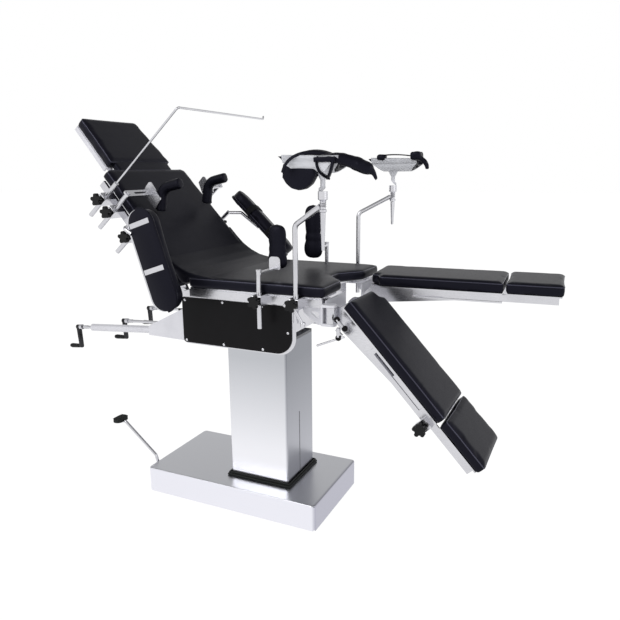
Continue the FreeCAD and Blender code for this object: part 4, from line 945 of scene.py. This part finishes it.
class TABLE_OT_crutch_straps(bpy.types.Operator):
    """Lobe, straps, buckle and gathered cloth of the two knee crutches"""
    bl_idname = "table.crutch_straps"
    bl_label = "Crutch straps"

    def execute(self, context):
        self.add_near_straps()
        self.add_far_straps()
        return {"FINISHED"}

    def add_near_straps(self):
        """Hanging lobe, arched straps over the rim, the cloth gathered in a buckle, and its tag."""
        lobe = upright(LOBE_OUTLINE, -334, 30)
        billow(lobe, voxel_mm=3.5, swell_mm=5.0)
        add_piece(lobe, "crutch_lobe_near", "gutter_near", "black leatherette")
        arch = rod([(346, -376, 1196), (352, -376, 1216), (368, -374, 1234), (398, -366, 1247),
                    (430, -356, 1251), (462, -350, 1246), (490, -346, 1234)], 1, order=4, flat=(12, 5),
                   tilt=[60] * 7)
        back_arch = rod([(318, -290, 1200), (326, -284, 1224), (350, -278, 1243), (384, -274, 1251),
                         (424, -272, 1247), (455, -272, 1232)], 1, order=4, flat=(46, 5))
        fold = rod([(372, -352, 1236), (396, -340, 1240), (424, -330, 1242), (450, -330, 1236)], 9, order=4,
                   sides=5, radii=[0.6, 1.1, 1.0, 0.6])
        add_piece(smooth(join(arch, back_arch, fold), 50), "crutch_arch_near", "gutter_near",
                  "black leatherette")
        cloth = rod([(448, -362, 1232), (478, -358, 1234), (508, -350, 1232), (536, -342, 1222),
                     (562, -336, 1212), (584, -334, 1200)], 17, order=4, sides=5,
                    radii=[0.5, 0.8, 1.05, 1.0, 1.2, 0.8])
        tail = rod([(560, -330, 1224), (582, -330, 1208), (594, -331, 1192), (599, -332, 1176)], 8, order=4,
                   sides=5, radii=[0.8, 1.1, 1.0, 0.5])
        bundle = join(cloth, tail)
        stuff(bundle, voxel_mm=4.0, swell_mm=0, pressure=0)
        crumple(bundle, size_mm=14, depth_mm=7)
        apply_modifier(bundle, "SUBSURF", levels=1, render_levels=1)
        add_piece(smooth(bundle, 180), "crutch_cloth_near", "gutter_near", "black leatherette")
        band = rod([(447, -352, 1236), (446, -377, 1230), (450, -381, 1210), (460, -377, 1190),
                    (472, -352, 1182)], 1, order=4, flat=(17, 6), tilt=[90] * 5)
        other = rod([(496, -352, 1236), (496, -377, 1230), (494, -381, 1212), (486, -377, 1192),
                     (470, -352, 1182)], 1, order=4, flat=(15, 6), tilt=[90] * 5)
        cross = slab((60, 6, 13), (471, -380, 1229), round_off=2, segments=3)
        add_piece(smooth(join(band, other, cross), 50), "crutch_wrap_near", "gutter_near",
                  "black leatherette")
        tag = upright([(455, 1221), (489, 1222), (484, 1214), (470, 1198), (462, 1206)], -377, 2)
        add_piece(smooth(tag), "crutch_tag_near", "gutter_near", "moulded pale shell")

    def add_far_straps(self):
        """A strap rolled up on the gutter's rim, knotted at both ends."""
        knot = slab((30, 36, 20), (410, 268, 1243), round_off=6, segments=3)
        strap = rod([(415, 262, 1250), (450, 262, 1254), (490, 262, 1252), (526, 262, 1246)], 1, order=4,
                    flat=(20, 4))
        block = slab((38, 46, 30), (536, 268, 1247), round_off=8, segments=3)
        tail = rod([(540, 262, 1240), (562, 262, 1236), (578, 262, 1220), (576, 262, 1202)], 9, order=4,
                   sides=4, radii=[0.9, 1.2, 1.1, 0.7])
        bundle = join(knot, block, tail)
        stuff(bundle, voxel_mm=4.0, swell_mm=0, pressure=0)
        crumple(bundle, size_mm=14, depth_mm=5)
        add_piece(smooth(join(bundle, strap), 60), "crutch_roll_far", "gutter_far", "black leatherette")


class TABLE_OT_arm_board_fittings(bpy.types.Operator):
    """Dark covers of the two arm boards, and the straps of the far one"""
    bl_idname = "table.arm_board_fittings"
    bl_label = "Arm board fittings"

    def round_end(self, middle, radius, angles):
        """Points of an arc about the middle of a board's round end."""
        return [(middle + radius * math.cos(math.radians(angle)), radius * math.sin(math.radians(angle)))
                for angle in angles]

    def execute(self, context):
        ends = (self.round_end(BOARD_END, BOARD_HALF, range(-90, 91, 12))
                + self.round_end(-BOARD_END, BOARD_HALF, range(90, 271, 12)))
        cover = plate(ends, 3, BOARD[NEAR] @ shift(0, -4.5, -6.4), 1)
        edge = (self.round_end(BOARD_END, BOARD_HALF + 2, range(0, -91, -15))
                + self.round_end(-BOARD_END, BOARD_HALF + 2, range(-90, -181, -15)))
        binding = rod([(x, y, -2.5) for x, y in edge], 3.6, BOARD[NEAR], sides=3, order=2)
        add_piece(smooth(join(cover, binding)), "arm_cover_near", "arm_board_near", "black leatherette")
        wide = [(x + math.copysign(2.6, x), y * 1.07) for x, y in ends]
        cover = plate(wide, 7.4, BOARD[FAR] @ shift(0, 0, -2.5), 1)
        add_piece(smooth(cover), "arm_cover_far", "arm_board_far", "black leatherette")
        loops = []
        for along in (-58, 62):
            loops.append(rod([(along, -58, -2), (along, -59, 20), (along, -48, 41), (along, -20, 44.5),
                              (along, 20, 44.5), (along, 48, 41), (along, 59, 20), (along, 58, -2)], 1,
                             BOARD[FAR], order=4, flat=(24, 2.6)))
        add_piece(smooth(join(*loops), 50), "arm_straps_far", "arm_board_far", "black webbing")
        return {"FINISHED"}


class TABLE_OT_foot_end_lock(bpy.types.Operator):
    """Lock lever with its bolts and rod at the foot end of the near side"""
    bl_idname = "table.foot_end_lock"
    bl_label = "Foot end lock"

    def execute(self, context):
        y = LOCK_PLANE
        arm = rod([(459, y, 773), (469, y, 762), (478, y, 752)], 5.5)
        hook = rod([(456, y, 742), (464, y, 736), (476, y, 726)], 4)
        post = rod([(464, y, 748), (464, y, 720)], 6)
        eyes = [turned([(0, -5), (8, -5), (9, -3), (9, 3), (8, 5), (0, 5)],
                       shift(x, y, z) @ turn("X", 90), 28) for x, z in ((459, 773), (484, 748), (464, 718))]
        add_piece(smooth(join(arm, hook, post), 40), "foot_end_lock", "yoke_near", "bright steel bar")
        add_piece(smooth(join(*eyes), 40), "foot_end_bolts", "yoke_near", "black powder coat")
        link = rod([(394, y, 686), (439, y, 705), (482, y, 722)], 3.2)
        add_piece(smooth(link, 40), "foot_end_rod", "yoke_near", "bright steel bar")
        return {"FINISHED"}


class TABLE_OT_crutch_lever(bpy.types.Operator):
    """Clamp lever of the near knee crutch"""
    bl_idname = "table.crutch_lever"
    bl_label = "Crutch lever"

    def execute(self, context):
        y = LEVER_PLANE
        knee = rod([(300, y, 806), (316, y, 823), (338, y, 792), (360, y, 757)], 5)
        tip = turned([(0, -8), (6, -8), (8, -5), (8, 5), (6, 8), (0, 8)], shift(362, y, 754), 24)
        add_piece(smooth(join(knee, tip), 40), "crutch_lever_near", "top", "bright steel bar")
        return {"FINISHED"}


class TABLE_OT_crank_sleeves(bpy.types.Operator):
    """Bright hubs and sleeves of the three crank shafts"""
    bl_idname = "table.crank_sleeves"
    bl_label = "Crank sleeves"

    def execute(self, context):
        for name, (x, y, z, rise, start, end) in CRANK_SHAFTS.items():
            along = shift(x, y, z) @ turn("Y", 90 - rise)
            hub = turned([(5.2, -3), (9, -3), (10.6, -1.5), (10.6, 9.5), (9.5, 10.8), (6.4, 11.2),
                          (5.2, 11.2), (5.2, -3)], along @ shift(0, 0, 9), 28)
            sleeve = turned([(5.2, start), (6.6, start), (7, start + 1), (7, start + 22), (6, start + 23),
                             (5.7, end), (5.2, end), (5.2, start)], along, 24)
            add_piece(smooth(join(hub, sleeve), 40), "crank_sleeve_" + name, "crank_" + name,
                      "bright steel bar")
        return {"FINISHED"}


class TABLE_PT_panel(bpy.types.Panel):
    """Lists the steps that dress the table"""
    bl_label = "Operating table"
    bl_space_type = "VIEW_3D"
    bl_region_type = "UI"
    bl_category = "Table"

    def draw(self, context):
        for step in STEPS:
            self.layout.operator(step.bl_idname)


STEPS = [TABLE_OT_stage, TABLE_OT_finishes, TABLE_OT_main_pads, TABLE_OT_corner_pad, TABLE_OT_side_pads,
         TABLE_OT_arm_pads, TABLE_OT_pedal_rubber, TABLE_OT_panel_screws, TABLE_OT_column_seam,
         TABLE_OT_base_corners, TABLE_OT_column_skirt, TABLE_OT_neck_flap, TABLE_OT_crutch_gutters,
         TABLE_OT_crutch_straps, TABLE_OT_arm_board_fittings, TABLE_OT_foot_end_lock, TABLE_OT_crutch_lever,
         TABLE_OT_crank_sleeves]
GROUPS = [TablePads, TableStage]


def register():
    for item in GROUPS + STEPS + [TABLE_PT_panel]:
        bpy.utils.register_class(item)
    bpy.types.Scene.table_pads = bpy.props.PointerProperty(type=TablePads)
    bpy.types.Scene.table_stage = bpy.props.PointerProperty(type=TableStage)


def unregister():
    del bpy.types.Scene.table_pads
    del bpy.types.Scene.table_stage
    for item in reversed(GROUPS + STEPS + [TABLE_PT_panel]):
        bpy.utils.unregister_class(item)


def main():
    """Dresses the table."""
    register()
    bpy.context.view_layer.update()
    for step in STEPS:
        area, name = step.bl_idname.split(".")
        getattr(getattr(bpy.ops, area), name)()


if __name__ == "__main__":
    main()
